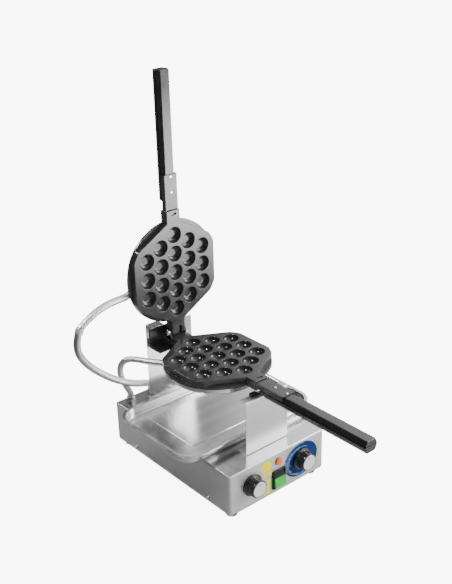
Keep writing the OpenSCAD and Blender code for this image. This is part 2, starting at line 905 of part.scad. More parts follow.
module thermostat_knob()
{
  color(black)
    knob(thermostat_x);
}

module cap(x)
{
  y0 = front_y - label_t - knob_skirt_gap - knob_l + cap_in - cap_t;
  color(bright)
    translate([x, 0, foot_h + knob_z])
      difference()
      {
        rod_y(cap_d, y0, cap_t, big_fn);
        translate([-cap_t / 2, y0 - eps, cap_d / 4])
          cube([cap_t, cap_t / 4 + eps, cap_d / 5]);
      }
}

module timer_cap()
{
  cap(-timer_x);
}

module thermostat_cap()
{
  cap(thermostat_x);
}

module switch_body()
{
  color(black)
    translate([switch_x, front_y - label_t, foot_h + switch_z])
      difference()
      {
        union()
        {
          translate([-switch_w / 2, -bezel_t, -switch_h / 2])
            cube([switch_w, bezel_t, switch_h]);
          translate([-switch_in_w / 2, 0, -switch_in_h / 2])
            cube([switch_in_w, switch_l, switch_in_h]);
        }
        translate([-switch_w / 2 + bezel_wall, -bezel_t - eps, -switch_h / 2 + bezel_wall])
          cube([switch_w - 2 * bezel_wall, bezel_t + switch_l / 2 + eps, switch_h - 2 * bezel_wall]);
      }
}

module rocker()
{
  w = switch_w - 2 * bezel_wall - 2 * rocker_gap;
  h = switch_h / 2 - bezel_wall - rocker_gap - rocker_end;
  color([0.1, 0.6, 0.2])
    translate([switch_x, front_y - label_t - bezel_t, foot_h + switch_z])
    {
      translate([-w / 2, 0, 0])
        rotate([90, 0, 90])
          linear_extrude(height = w)
            polygon([[rocker_in, -h + rocker_end], [0, -h], [-rocker_out, -h], [-rocker_mid, rocker_break],
                     [rocker_sunk, h], [rocker_in, h - rocker_end]]);
      for (sx = [-1, 1])
        translate([sx * (w / 2 + rocker_gap / 2) - rocker_gap / 2, pip_in, 0])
          rod_x(pip_d, 0, rocker_gap, small_fn);
    }
}

module lamp_body()
{
  color(black)
    translate([0, 0, foot_h + lamp_z])
      difference()
      {
        union()
        {
          rod_y(lamp_d, front_y - label_t - lamp_rim, lamp_rim);
          rod_y(lamp_in_d, front_y - label_t - seat_gap, lamp_l);
        }
        rod_y(lamp_in_d - 2 * lamp_wall, front_y - label_t - lamp_rim - eps, lamp_rim + lamp_l / 2 + eps);
      }
}

module lamp_lens()
{
  color([0.95, 0.4, 0.1])
    translate([0, front_y - label_t - lamp_rim, foot_h + lamp_z])
    {
      rod_y(lamp_in_d - 2 * lamp_wall - 2 * seat_gap, 0, lamp_rim + lamp_l / 2, mid_fn);
      rotate([90, 0, 0])
        cylinder(d1 = lamp_d - lamp_wall, d2 = lamp_d - lens_out, h = lens_out, $fn = mid_fn);
    }
}

module terminal_block()
{
  color([0.85, 0.84, 0.8])
    difference()
    {
      translate([-term[0] / 2, term_y, foot_h + base_t])
        cube(term);
      for (k = [-2:2])
        translate([k * term[0] / 5, term_y + term[1] / 2, foot_h + base_t + term[2] / 2])
          cylinder(d = screw_d + term_hole_gap, h = term[2], $fn = small_fn);
    }
}

module earth_stud()
{
  color([0.75, 0.6, 0.3])
    translate([stud_x, term_y, foot_h + base_t])
    {
      cylinder(d = screw_d, h = 4 * screw_d, $fn = small_fn);
      cylinder(d = 2 * screw_d, h = screw_d / 2, $fn = 6);
      translate([0, 0, 2 * screw_d])
        cylinder(d = 2 * screw_d, h = screw_d / 2, $fn = 6);
    }
}

module gland_shape()
{
  difference()
  {
    union()
    {
      cylinder(d = gland_d, h = gland_h * 0.55, $fn = 6);
      cylinder(d = gland_d * 0.82, h = gland_h, $fn = mid_fn);
      translate([0, 0, -base_t - gland_thread])
        cylinder(d = gland_in_d, h = base_t + gland_thread + eps, $fn = mid_fn);
      translate([0, 0, -base_t - gland_nut_t])
        cylinder(d = gland_d, h = gland_nut_t, $fn = 6);
    }
    translate([0, 0, -base_t - gland_thread - eps])
      cylinder(d = gland_bore, h = base_t + gland_thread + gland_h / 2, $fn = small_fn);
  }
}

module base_glands()
{
  color(bright)
    for (p = [upper_gland_base, lower_gland_base])
      translate(p)
        gland_shape();
}

module cord_gland()
{
  color(black)
    translate([cord_x, back_y, foot_h + cord_z])
      rotate([-90, 0, 0])
        gland_shape();
}

module wiring()
{
  color([0.6, 0.2, 0.15])
  {
    tube(timer_wire, wire_d, wire_rings + 4, wire_fn, [0.3, 0, 1]);
    tube(thermostat_wire, wire_d, wire_rings + 4, wire_fn, [0.3, 0, 1]);
    tube(inlet_wire, wire_d, wire_rings, wire_fn, [0.3, 0, 1]);
  }
}

// Tray

module tray()
{
  inner_l = tray_l - 2 * tray_rim;
  inner_w = tray_w - 2 * tray_rim;
  inner_r = tray_r - tray_rim;
  color(steel)
    translate([0, tray_y, base_top])
      difference()
      {
        union()
        {
          round_box(inner_l, inner_w, tray_h, inner_r);
          translate([0, 0, tray_h - tray_t])
            round_box(tray_l, tray_w, tray_t, tray_r);
          translate([0, 0, tray_h - tray_lip])
            round_box(tray_l, tray_w, tray_lip, tray_r);
        }
        difference()
        {
          translate([0, 0, tray_t])
            round_box(inner_l - 2 * tray_t, inner_w - 2 * tray_t, tray_h, inner_r - tray_t);
          round_box(field_l, field_w, field_h + tray_t, tray_t * 2);
        }
        translate([0, 0, -eps])
          round_box(field_l - 2 * tray_t, field_w - 2 * tray_t, field_h + eps, tray_t);
        translate([0, 0, tray_h - tray_lip - eps])
          difference()
          {
            round_box(tray_l - 2 * tray_t, tray_w - 2 * tray_t, tray_lip + eps - tray_t, tray_r - tray_t);
            round_box(inner_l, inner_w, tray_lip + eps - tray_t, inner_r);
          }
      }
}

// Pans

module cups()
{
  for (c = [-2:2])
    for (k = [0:4 - abs(c)])
      translate([c * cup_pitch * sqrt(3) / 2, (k - (4 - abs(c)) / 2) * cup_pitch, cup_sphere - cup_depth])
        sphere(r = cup_sphere, $fn = mid_fn);
}

// The casting without its hinge end
module casting()
{
  difference()
  {
    union()
    {
      difference()
      {
        translate([0, 0, -plate_depth])
          cylinder(d = plate_d, h = plate_depth, $fn = big_fn);
        translate([0, 0, -field_step])
          difference()
          {
            cylinder(d = 1.1 * plate_d, h = field_step + eps, $fn = big_fn);
            translate([0, 0, -eps])
              rotate([0, 0, 30])
                cylinder(d = plate_flats / cos(30), h = field_step + 3 * eps, $fn = 6);
          }
      }
      translate([-neck_w / 2, -neck_reach, -neck_h])
        cube([neck_w, neck_reach - neck_root, neck_h]);
      translate([-neck_w / 2 + channel_t + seat_gap, -neck_reach - neck_tenon_l,
                 -channel_drop - channel_h])
        cube([neck_w - 2 * channel_t - 2 * seat_gap, neck_tenon_l + eps, channel_h - channel_t - seat_gap]);
      for (a = stud_angles)
        rotate([0, 0, a])
          translate([stud_r, 0, -pan_back + cover_t])
            cylinder(d = stud_d, h = cover_h - cover_t + eps, $fn = small_fn);
    }
    cups();
    for (a = stud_angles)
      rotate([0, 0, a])
        translate([stud_r, 0, -pan_back])
          cylinder(d = screw_d + 2 * seat_gap, h = cover_h, $fn = small_fn);
    translate([mark_x, -mark_y, -mark_deep])
      cylinder(d = mark_d, h = mark_deep + eps, $fn = small_fn);
    translate([mark_x, -mark_y, -mark_deep])
      rotate([0, 0, mark_turn])
        translate([0, -mark_d / 5, 0])
          cube([mark_l, mark_d * 0.4, mark_deep + eps]);
  }
}

module lower_plate()
{
  color(iron)
    place_lower()
      difference()
      {
        union()
        {
          casting();
          translate([-cheek_x - cheek_t, plate_d / 2 - hinge_root, -hinge_neck_h])
            cube([2 * (cheek_x + cheek_t), boss_y + boss_l - plate_d / 2 + hinge_root, hinge_neck_h]);
          translate([0, 0, face_gap / 2])
            rod_y(2 * boss_r, boss_y, boss_l);
          for (sx = [-1, 1])
            translate([sx * (cheek_x + cheek_t / 2) - cheek_t / 2, 0, 0])
            {
              translate([0, hinge_back, hinge_local_lower])
                rod_x(2 * cheek_round, 0, cheek_t);
              translate([0, hinge_back - cheek_round * 0.95, -eps])
                cube([cheek_t, cheek_round * 1.9, hinge_local_lower + eps]);
            }
        }
        translate([0, hinge_back, hinge_local_lower])
          rod_x(pin_d + 2 * run_gap, -neck_w, 2 * neck_w, small_fn);
        translate([0, 0, face_gap / 2])
          rod_y(shaft_d + 2 * seat_gap, boss_y - eps, boss_l + 2 * eps);
      }
}

module upper_plate()
{
  color(iron)
    place_upper()
      difference()
      {
        union()
        {
          casting();
          translate([-neck_w / 2, neck_root, -neck_h])
            cube([neck_w, hinge_back - neck_root, neck_h]);
          translate([0, hinge_back, -hinge_local_upper])
            rod_x(2 * knuckle_r, -neck_w / 2, neck_w);
        }
        translate([0, hinge_back, -hinge_local_upper])
          rod_x(pin_d + 2 * run_gap, -neck_w, 2 * neck_w, small_fn);
        translate([slot_from, hinge_back - slot_l, -neck_h - eps])
          cube([slot_to - slot_from, 2 * slot_l + knuckle_r, neck_h + 2 * eps]);
      }
}

module heater()
{
  color([0.35, 0.33, 0.32])
  {
    translate([0, 0, -plate_depth - heater_rod])
      rotate([0, 0, 100])
        rotate_extrude(angle = 340, $fn = big_fn)
          translate([heater_r, 0])
            circle(r = heater_rod, $fn = small_fn);
    for (a = [100, 440])
      rotate([0, 0, a])
        translate([heater_r, 0, -plate_depth - post_deep])
          cylinder(r = heater_rod / 2, h = post_l, $fn = small_fn);
  }
}

module insulation()
{
  color([0.9, 0.88, 0.82])
    difference()
    {
      translate([0, 0, -pan_back + cover_t])
        cylinder(r = cover_r - insulation_in, h = insulation_t, $fn = mid_fn);
      for (a = stud_angles)
        rotate([0, 0, a])
          translate([stud_r, 0, -pan_back])
            cylinder(d = stud_d + 2 * stud_gap, h = cover_h, $fn = small_fn);
    }
}

module cover(angle)
{
  color(bright)
    difference()
    {
      translate([0, 0, -pan_back])
        rotate_extrude($fn = big_fn)
          difference()
          {
            union()
            {
              square([cover_r - cover_edge, cover_h]);
              translate([0, cover_edge])
                square([cover_r, cover_h - cover_edge]);
              translate([cover_r - cover_edge, cover_edge])
                circle(r = cover_edge, $fn = small_fn);
            }
            translate([0, cover_t])
              square([cover_r - cover_edge, cover_h]);
            translate([0, cover_edge])
              square([cover_r - cover_t, cover_h]);
            translate([cover_r - cover_edge, cover_edge])
              circle(r = cover_edge - cover_t, $fn = small_fn);
          }
      for (a = stud_angles)
        rotate([0, 0, a])
          translate([stud_r, 0, -pan_back - eps])
            cylinder(d = screw_d + 2 * hole_gap, h = cover_t + 2 * eps, $fn = small_fn);
      rotate([0, 0, angle])
        translate([0, 0, -gland_local])
          rod_x(2 * gland_neck_r + 2 * seat_gap, cover_r - 2 * cover_t, 4 * cover_t, small_fn);
    }
}

module cover_screws()
{
  color(bright)
    for (a = stud_angles)
      rotate([0, 0, a])
        translate([stud_r, 0, -pan_back])
          rotate([180, 0, 0])
            screw(l = cover_screw_l, head_h = cover_head_h);
}

module side_gland(angle, r)
{
  color(bright)
    rotate([0, 0, angle])
      translate([0, 0, -gland_local])
        difference()
        {
          union()
          {
            rod_x(2 * r, cover_r, gland_reach);
            rod_x(2 * gland_neck_r, cover_r - 3 * cover_t, 3 * cover_t + eps, small_fn);
          }
          rod_x(2 * gland_neck_r - 2 * cover_t, cover_r - 4 * cover_t,
                gland_reach + 4 * cover_t - gland_floor, small_fn);
        }
}

module channel()
{
  color(dark)
    difference()
    {
      translate([-neck_w / 2, -channel_reach, -channel_drop - channel_h])
        cube([neck_w, channel_reach - neck_reach - channel_gap, channel_h]);
      translate([-neck_w / 2 + channel_t, -channel_reach - eps, -channel_drop - channel_h - eps])
        cube([neck_w - 2 * channel_t, channel_reach - neck_reach + 2 * eps, channel_h - channel_t + eps]);
      for (y = rivet_y)
        translate([0, -y, -channel_drop - channel_t - eps])
          cylinder(d = rivet_d / 2 + 2 * seat_gap, h = channel_t + 2 * eps, $fn = small_fn);
    }
}

module rivets()
{
  color(bright)
    for (y = rivet_y)
      translate([0, -y, -channel_drop])
      {
        cylinder(d1 = rivet_d, d2 = rivet_d * 0.8, h = rivet_h, $fn = small_fn);
        translate([0, 0, -rivet_l])
          cylinder(d = rivet_d / 2, h = rivet_l, $fn = small_fn);
      }
}

// Cross section of the handle, width along x and depth below the top along y
module grip_section(inset = 0)
{
  w = grip_w / 2 - inset;
  polygon([[-grip_flat + inset, -inset], [-w + grip_nip, -grip_side_a], [-w, -grip_side_b],
           [-w + grip_nip, -grip_h * 0.75], [-w + grip_bevel, -grip_h + inset],
           [w - grip_bevel, -grip_h + inset], [w - grip_nip, -grip_h * 0.75], [w, -grip_side_b],
           [w - grip_nip, -grip_side_a],
           [grip_flat - inset, -inset]]);
}

module handle()
{
  color(black)
    difference()
    {
      translate([0, 0, -grip_top])
        rotate([90, 0, 0])
        {
          translate([0, 0, grip_start])
            linear_extrude(grip_reach - grip_start - grip_end)
              grip_section();
          hull()
          {
            translate([0, 0, grip_reach - grip_end])
              linear_extrude(grip_end / 4)
                grip_section();
            translate([0, 0, grip_reach - grip_end / 4])
              linear_extrude(grip_end / 4)
                grip_section(end_inset);
          }
        }
      for (y = rivet_y)
        translate([0, -y, -channel_drop - rivet_l - eps])
          cylinder(d = rivet_d / 2 + 2 * seat_gap, h = rivet_l + 2 * eps, $fn = small_fn);
    }
}

module lower_heater()
{
  place_lower()
    heater();
}

module lower_insulation()
{
  place_lower()
    insulation();
}

module lower_cover()
{
  place_lower()
    cover(lower_gland_angle);
}

module lower_cover_screws()
{
  place_lower()
    cover_screws();
}

module lower_channel()
{
  place_lower()
    channel();
}

module lower_rivets()
{
  place_lower()
    rivets();
}

module lower_handle()
{
  place_lower()
    handle();
}

module lower_gland()
{
  place_lower()
    side_gland(lower_gland_angle, lower_gland_r);
}

module hinge_pin()
{
  half = cheek_x + cheek_t;
  color(bright)
    translate([0, hinge_y, hinge_z])
    {
      rod_x(pin_d, -half, 2 * half, small_fn);
      rod_x(pin_head_d, -half - pin_head_t, pin_head_t);
    }
}

module pivot_shaft()
{
  color(bright)
    translate([0, 0, axis_h])
      rod_y(shaft_d, boss_y - pan_fwd, shaft_end - boss_y + pan_fwd);
}

module pivot_nut()
{
  color(bright)
    translate([0, 0, axis_h])
      difference()
      {
        union()
        {
          rod_y(2 * bush_flange_r, upright_back + support_t + nut_gap, washer_t);
          rod_y(shaft_d * 1.7, upright_back + support_t + nut_gap + washer_t, nut_t, 6);
        }
        rod_y(shaft_d + 2 * seat_gap, upright_back, shaft_end, mid_fn);
      }
}

module hose_union()
{
  bore = upper_hose_d + 2 * union_gap;
  color(bright)
    translate(union_point)
      rotate([0, acos(union_way[2]), atan2(union_way[1], union_way[0])])
        difference()
        {
          translate([0, 0, -union_l / 2])
            cylinder(d = bore + 2 * union_wall, h = union_l, $fn = mid_fn);
          translate([0, 0, -union_l])
            cylinder(d = bore, h = 2 * union_l, $fn = mid_fn);
        }
}

module upper_heater()
{
  place_upper()
    heater();
}

module upper_insulation()
{
  place_upper()
    insulation();
}

module upper_cover()
{
  place_upper()
    cover(upper_gland_angle_local);
}

module upper_cover_screws()
{
  place_upper()
    cover_screws();
}

module upper_channel()
{
  place_upper()
    channel();
}

module upper_rivets()
{
  place_upper()
    rivets();
}

module upper_handle()
{
  place_upper()
    handle();
}

module upper_gland()
{
  place_upper()
    side_gland(upper_gland_angle_local, gland_r);
}

module lower_hose()
{
  color(steel)
    tube(lower_route, lower_hose_d, lower_rings, hose_fn, [0.7, 0.7, 0]);
}

module upper_hose_run()
{
  color(steel)
    tube(upper_route, upper_hose_d, run_rings, hose_fn, [0, 1, 0]);
}

module upper_hose_drop()
{
  color(steel)
    tube(drop_route, upper_hose_d, drop_rings, hose_fn, [0, 1, 0]);
}

base_shell();
bottom_plate();
bottom_screws();
feet();
foot_screws();
panel_label();
front_support();
front_support_screws();
rest_saddle();
rear_upright();
upright_screws();
pivot_bracket();
bracket_bolts();
pivot_bush();
timer_body();
thermostat_body();
control_nuts();
switch_body();
lamp_body();
lamp_lens();
terminal_block();
earth_stud();
base_glands();
cord_gland();
wiring();
tray();
lower_plate();
lower_heater();
lower_insulation();
lower_cover();
lower_cover_screws();
lower_channel();
lower_rivets();
lower_handle();
lower_gland();
hinge_pin();
pivot_shaft();
pivot_nut();
hose_union();
upper_plate();
upper_heater();
upper_insulation();
upper_cover();
upper_cover_screws();
upper_channel();
upper_rivets();
upper_handle();
upper_gland();
lower_hose();
upper_hose_run();
upper_hose_drop();
timer_knob();
timer_cap();
thermostat_knob();
thermostat_cap();
rocker();
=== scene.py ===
import json
import math

import bmesh
import bpy
from mathutils import Matrix, Vector
from mathutils.geometry import delaunay_2d_cdt


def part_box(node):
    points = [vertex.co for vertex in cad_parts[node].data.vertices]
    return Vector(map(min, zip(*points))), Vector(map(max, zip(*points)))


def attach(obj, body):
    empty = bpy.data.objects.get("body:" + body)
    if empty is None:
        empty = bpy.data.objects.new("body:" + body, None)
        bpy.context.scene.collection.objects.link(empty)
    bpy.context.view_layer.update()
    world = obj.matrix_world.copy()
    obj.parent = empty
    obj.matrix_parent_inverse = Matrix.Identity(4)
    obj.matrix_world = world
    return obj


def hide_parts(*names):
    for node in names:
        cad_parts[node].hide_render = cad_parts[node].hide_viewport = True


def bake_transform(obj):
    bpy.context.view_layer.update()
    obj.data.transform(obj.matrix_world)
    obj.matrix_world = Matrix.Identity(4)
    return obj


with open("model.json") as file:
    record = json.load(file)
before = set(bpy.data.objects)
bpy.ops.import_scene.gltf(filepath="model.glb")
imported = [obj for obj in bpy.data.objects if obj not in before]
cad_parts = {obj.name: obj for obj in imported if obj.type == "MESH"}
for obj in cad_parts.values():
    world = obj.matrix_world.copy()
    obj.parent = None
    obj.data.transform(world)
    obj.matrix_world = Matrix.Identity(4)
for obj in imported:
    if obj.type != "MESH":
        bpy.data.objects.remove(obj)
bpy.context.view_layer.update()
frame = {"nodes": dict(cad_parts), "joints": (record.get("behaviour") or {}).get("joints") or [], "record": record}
nodes = frame["nodes"]
MM = 0.001


# materials
def new_mat(name):
    m = bpy.data.materials.new(name)
    m.use_nodes = True
    nt = m.node_tree
    nt.nodes.clear()
    out = nt.nodes.new("ShaderNodeOutputMaterial")
    b = nt.nodes.new("ShaderNodeBsdfPrincipled")
    nt.links.new(b.outputs["BSDF"], out.inputs["Surface"])
    return m, nt, b


def noise(nt, scale, detail=4.0, stretch=(1, 1, 1)):
    tc = nt.nodes.new("ShaderNodeTexCoord")
    mp = nt.nodes.new("ShaderNodeMapping")
    mp.inputs["Scale"].default_value = stretch
    nt.links.new(tc.outputs["Object"], mp.inputs["Vector"])
    n = nt.nodes.new("ShaderNodeTexNoise")
    n.inputs["Scale"].default_value = scale
    n.inputs["Detail"].default_value = detail
    nt.links.new(mp.outputs["Vector"], n.inputs["Vector"])
    return n


def ramp(nt, src, lo, hi, c0, c1):
    r = nt.nodes.new("ShaderNodeMapRange")
    r.inputs["From Min"].default_value = lo
    r.inputs["From Max"].default_value = hi
    r.inputs["To Min"].default_value = c0
    r.inputs["To Max"].default_value = c1
    nt.links.new(src, r.inputs["Value"])
    return r.outputs["Result"]


def mix(nt, fac, a, b):
    m = nt.nodes.new("ShaderNodeMix")
    m.data_type = "RGBA"
    nt.links.new(fac, m.inputs[0])
    for i, c in ((6, a), (7, b)):
        if isinstance(c, tuple):
            m.inputs[i].default_value = (*c, 1)
        else:
            nt.links.new(c, m.inputs[i])
    return m.outputs[2]


def along(nt, src, axis):
    """The part of a vector that points along an axis."""
    dot = nt.nodes.new("ShaderNodeVectorMath")
    dot.operation = "DOT_PRODUCT"
    dot.inputs[1].default_value = axis
    nt.links.new(src, dot.inputs[0])
    return dot.outputs["Value"]


def surface(name, col, col2=None, metal=0.0, rough=(0.3, 0.4), scale=60, bump=0.0, bump_scale=400,
            stretch=(1, 1, 1), bevel=0.0004, coat=0.0, ior=1.5, spec=0.5, glow=0.0, spun=0.0):
    """A varied metal, plastic or paint: two near tones, a wandering roughness, grain and soft edges."""
    m, nt, b = new_mat(name)
    n = noise(nt, scale, stretch=stretch)
    c2 = col2 or tuple(min(1, c * 1.15) for c in col)
    nt.links.new(mix(nt, ramp(nt, n.outputs["Fac"], 0.3, 0.7, 0, 1), col, c2), b.inputs["Base Color"])
    nt.links.new(ramp(nt, n.outputs["Fac"], 0.3, 0.7, rough[0], rough[1]), b.inputs["Roughness"])
    b.inputs["Metallic"].default_value = metal
    b.inputs["IOR"].default_value = ior
    b.inputs["Specular IOR Level"].default_value = spec
    b.inputs["Coat Weight"].default_value = coat
    b.inputs["Coat Roughness"].default_value = 0.15
    if glow:
        b.inputs["Emission Color"].default_value = (*col, 1)
        b.inputs["Emission Strength"].default_value = glow
    if spun:
        tg = nt.nodes.new("ShaderNodeTangent")
        tg.direction_type = "RADIAL"
        tg.axis = "Y"
        nt.links.new(tg.outputs["Tangent"], b.inputs["Tangent"])
        b.inputs["Anisotropic"].default_value = spun
    normal = None
    if bevel:
        bv = nt.nodes.new("ShaderNodeBevel")
        bv.samples = 4
        bv.inputs["Radius"].default_value = bevel
        normal = bv.outputs["Normal"]
    if bump:
        g = noise(nt, bump_scale, detail=3, stretch=stretch)
        bp = nt.nodes.new("ShaderNodeBump")
        bp.inputs["Strength"].default_value = bump
        bp.inputs["Distance"].default_value = 0.0003
        nt.links.new(g.outputs["Fac"], bp.inputs["Height"])
        if normal:
            nt.links.new(normal, bp.inputs["Normal"])
        normal = bp.outputs["Normal"]
    if normal:
        nt.links.new(normal, b.inputs["Normal"])
    return m


MATS = {
    "base_steel": surface("m_base_steel", (0.52, 0.52, 0.525), (0.57, 0.57, 0.575), 1.0, (0.22, 0.27), 30,
                          0.05, 900, (1, 1, 0.05)),
    "sheet_steel": surface("m_sheet_steel", (0.56, 0.56, 0.565), (0.6, 0.6, 0.605), 1.0, (0.34, 0.4), 30,
                           0.05, 900, (1, 1, 0.05)),
    "tray_steel": surface("m_tray_steel", (0.6, 0.6, 0.605), (0.65, 0.65, 0.655), 1.0, (0.2, 0.24), 25,
                          0.02, 700, (0.05, 1, 1)),
    "inner_steel": surface("m_inner_steel", (0.5, 0.51, 0.52), (0.57, 0.58, 0.6), 1.0, (0.35, 0.5), 40,
                           0.05),
    "rubber": surface("m_rubber", (0.008, 0.008, 0.008), (0.014, 0.014, 0.014), 0, (0.65, 0.8), 80,
                      0.15, 900, spec=0.15),
    "bolts": surface("m_bolts", (0.82, 0.83, 0.85), (0.9, 0.9, 0.92), 1.0, (0.2, 0.28), 120, 0.03),
    "label": surface("m_label", (0.66, 0.67, 0.68), (0.7, 0.71, 0.72), 0.5, (0.3, 0.36), 40, 0.04, 900),
    "black_plastic": surface("m_black_plastic", (0.008, 0.008, 0.009), (0.014, 0.014, 0.015), 0,
                             (0.35, 0.5), 90, 0.12, 1200, spec=0.2),
    "knob_black": surface("m_knob_black", (0.01, 0.01, 0.011), (0.016, 0.016, 0.017), 0, (0.22, 0.3), 90,
                          0.05, 1500, coat=0.3),
    "handle_black": surface("m_handle_black", (0.025, 0.025, 0.026), (0.032, 0.032, 0.034), 0,
                            (0.18, 0.24), 50, 0.04, 1400, spec=0.5),
    "cap_silver": surface("m_cap_silver", (0.94, 0.94, 0.945), (0.97, 0.97, 0.975), 0.3, (0.24, 0.3), 60,
                          0.04, 1500, spun=0.8),
    "rocker_green": surface("m_rocker", (0.01, 0.42, 0.03), (0.02, 0.5, 0.04), 0, (0.2, 0.3), 80, glow=0.4),
    "lens_orange": surface("m_lens", (0.8, 0.16, 0.01), (0.9, 0.22, 0.02), 0, (0.15, 0.2), 80, glow=0.2),
    "thermostat_metal": surface("m_thermostat", (0.6, 0.6, 0.6), (0.66, 0.66, 0.66), 1.0, (0.3, 0.4), 80),
    "terminal": surface("m_terminal", (0.7, 0.67, 0.6), (0.76, 0.73, 0.66), 0, (0.4, 0.5), 80),
    "brass": surface("m_brass", (0.62, 0.46, 0.2), (0.7, 0.53, 0.25), 1.0, (0.2, 0.3), 80),
    "gland_metal": surface("m_gland", (0.62, 0.62, 0.64), (0.7, 0.7, 0.72), 1.0, (0.2, 0.28), 90),
    "wire": surface("m_wire", (0.35, 0.06, 0.04), (0.42, 0.08, 0.05), 0, (0.4, 0.5), 90),
    "cast_iron": surface("m_cast_iron", (0.045, 0.045, 0.047), (0.055, 0.055, 0.058), 0, (0.15, 0.2), 60,
                         0.06, 1300, bevel=0.0006, spec=0.5),
    "dark_paint": surface("m_dark_paint", (0.045, 0.045, 0.047), (0.055, 0.055, 0.057), 0, (0.2, 0.26),
                          60, 0.05, 1300, spec=0.5),
    "ferrule": surface("m_ferrule", (0.74, 0.74, 0.745), (0.8, 0.8, 0.805), 0.6, (0.4, 0.5), 90, 0.05, 900),
    "heater": surface("m_heater", (0.16, 0.14, 0.13), (0.2, 0.18, 0.16), 0.8, (0.45, 0.6), 90),
    "insulation": surface("m_insulation", (0.75, 0.72, 0.66), (0.82, 0.8, 0.74), 0, (0.85, 0.95), 90, 0.4),
    "cover_steel": surface("m_cover_steel", (0.74, 0.74, 0.75), (0.8, 0.8, 0.81), 1.0, (0.14, 0.2), 40,
                           0.03, 900),
    "hose_braid": surface("m_hose", (0.66, 0.66, 0.67), (0.84, 0.84, 0.85), 1.0, (0.3, 0.42), 300, 0.4,
                          900),
}
PRINT = {
    "blue": surface("m_print_blue", (0.002, 0.025, 0.14), (0.004, 0.04, 0.2), 0, (0.4, 0.45), 70, spec=0.1),
    # the yellow print glows a little: a painted glow, since print is no lamp
    "yellow": surface("m_print_yellow_painted_glow", (0.88, 0.78, 0.0), (0.9, 0.82, 0.0), 0, (0.5, 0.55), 70, spec=0.0,
                      glow=0.35),
    "pale": surface("m_print_pale", (0.5, 0.6, 0.12), (0.56, 0.66, 0.16), 0, (0.4, 0.45), 70, spec=0.25),
    "sky": surface("m_print_sky", (0.3, 0.5, 0.8), (0.4, 0.6, 0.9), 0, (0.4, 0.45), 70, spec=0.1),
    "ink": surface("m_print_ink", (0.02, 0.02, 0.025), (0.03, 0.03, 0.035), 0, (0.4, 0.45), 70, spec=0.25),
}
STRANDS = 14


def braid(m):
    """Two crossing sets of wires along the map named way: the colour is a painted highlight on their tops and
    painted shade between them.
    """
    nt = m.node_tree
    b = next(n for n in nt.nodes if n.type == "BSDF_PRINCIPLED")
    uv = nt.nodes.new("ShaderNodeUVMap")
    uv.uv_map = "way"
    waves = []
    for side in (1, -1):
        pace = 2 * math.pi * STRANDS
        w = nt.nodes.new("ShaderNodeMath")
        w.operation = "SINE"
        nt.links.new(along(nt, uv.outputs["UV"], (pace, side * pace * 0.7, 0)), w.inputs[0])
        waves.append(w.outputs[0])
    top = nt.nodes.new("ShaderNodeMath")
    top.operation = "MAXIMUM"
    for i, w in enumerate(waves):
        nt.links.new(w, top.inputs[i])
    # painted highlight on the wires' tops and painted shade between them; the same mask is the bump's height
    tone = ramp(nt, top.outputs[0], -0.4, 0.9, 0, 1)
    nt.links.new(mix(nt, tone, (0.3, 0.3, 0.305), (0.86, 0.86, 0.865)), b.inputs["Base Color"])
    bp = nt.nodes.new("ShaderNodeBump")
    bp.inputs["Strength"].default_value = 0.5
    bp.inputs["Distance"].default_value = 0.0004
    nt.links.new(tone, bp.inputs["Height"])
    nt.links.new(bp.outputs["Normal"], b.inputs["Normal"])


braid(MATS["hose_braid"])
slot_of = {s["node"]: s["material_slot"] for s in frame["record"]["subparts"]}
for n, o in nodes.items():
    o.data.materials.clear()
    o.data.materials.append(MATS["ferrule" if n == "hose_union" else slot_of[n]])


# building helpers
def box(node):
    lo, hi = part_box(node)
    return Vector(lo), Vector(hi)


def obj_from(name, bm, smooth=32, weighted=True):
    bmesh.ops.remove_doubles(bm, verts=bm.verts, dist=1e-6)
    bmesh.ops.recalc_face_normals(bm, faces=bm.faces)
    me = bpy.data.meshes.new(name)
    bm.to_mesh(me)
    bm.free()
    me.shade_smooth()
    me.set_sharp_from_angle(angle=math.radians(smooth))
    o = bpy.data.objects.new(name, me)
    bpy.context.scene.collection.objects.link(o)
    if weighted:
        w = o.modifiers.new("even shading", "WEIGHTED_NORMAL")
        w.keep_sharp = True
        w.weight = 60
    return o


def skin(bm, rings, caps=(True, True)):
    """Quads between rings of equal length; caps close the first and last."""
    rows = [[bm.verts.new(p) for p in r] for r in rings]
    n = len(rows[0])
    made = []
    for a, b in zip(rows, rows[1:]):
        for i in range(n):
            j = (i + 1) % n
            made.append(bm.faces.new((a[i], a[j], b[j], b[i])))
    if caps[0]:
        bm.faces.new(list(reversed(rows[0])))
    if caps[1]:
        bm.faces.new(rows[-1])
    return made


def round_rect(w, d, r, z, n=8, cx=0.0, cy=0.0):
    pts = []
    for k, (sx, sy) in enumerate(((1, 1), (-1, 1), (-1, -1), (1, -1))):
        for i in range(n + 1):
            a = math.pi / 2 * (k + i / n)
            pts.append(Vector((cx + sx * (w / 2 - r) + r * math.cos(a),
                               cy + sy * (d / 2 - r) + r * math.sin(a), z)))
    return pts


def circle(x, y, r, z, n):
    turns = (2 * math.pi * i / n for i in range(n))
    return [Vector((x + r * math.cos(a), y + r * math.sin(a), z)) for a in turns]


def arc(u, v, r, a0, a1, n):
    """Points (u, v) on an arc, angles in degrees."""
    turns = [math.radians(a0 + (a1 - a0) * i / n) for i in range(n + 1)]
    return [(u + r * math.cos(a), v + r * math.sin(a)) for a in turns]


def lathe(name, profile, segs=64, matrix=None, radial=None, **kw):
    """Turns (radius, z) points about Z. radial(angle, r, z) may change the radius."""
    bm = bmesh.new()
    rings = []
    for r, z in profile:
        ring = []
        for i in range(segs):
            a = 2 * math.pi * i / segs
            rr = radial(a, r, z) if radial else r
            ring.append(Vector((rr * math.cos(a), rr * math.sin(a), z)))
        rings.append(ring)
    skin(bm, rings)
    if matrix is not None:
        bmesh.ops.transform(bm, matrix=matrix, verts=bm.verts)
    return obj_from(name, bm, **kw)


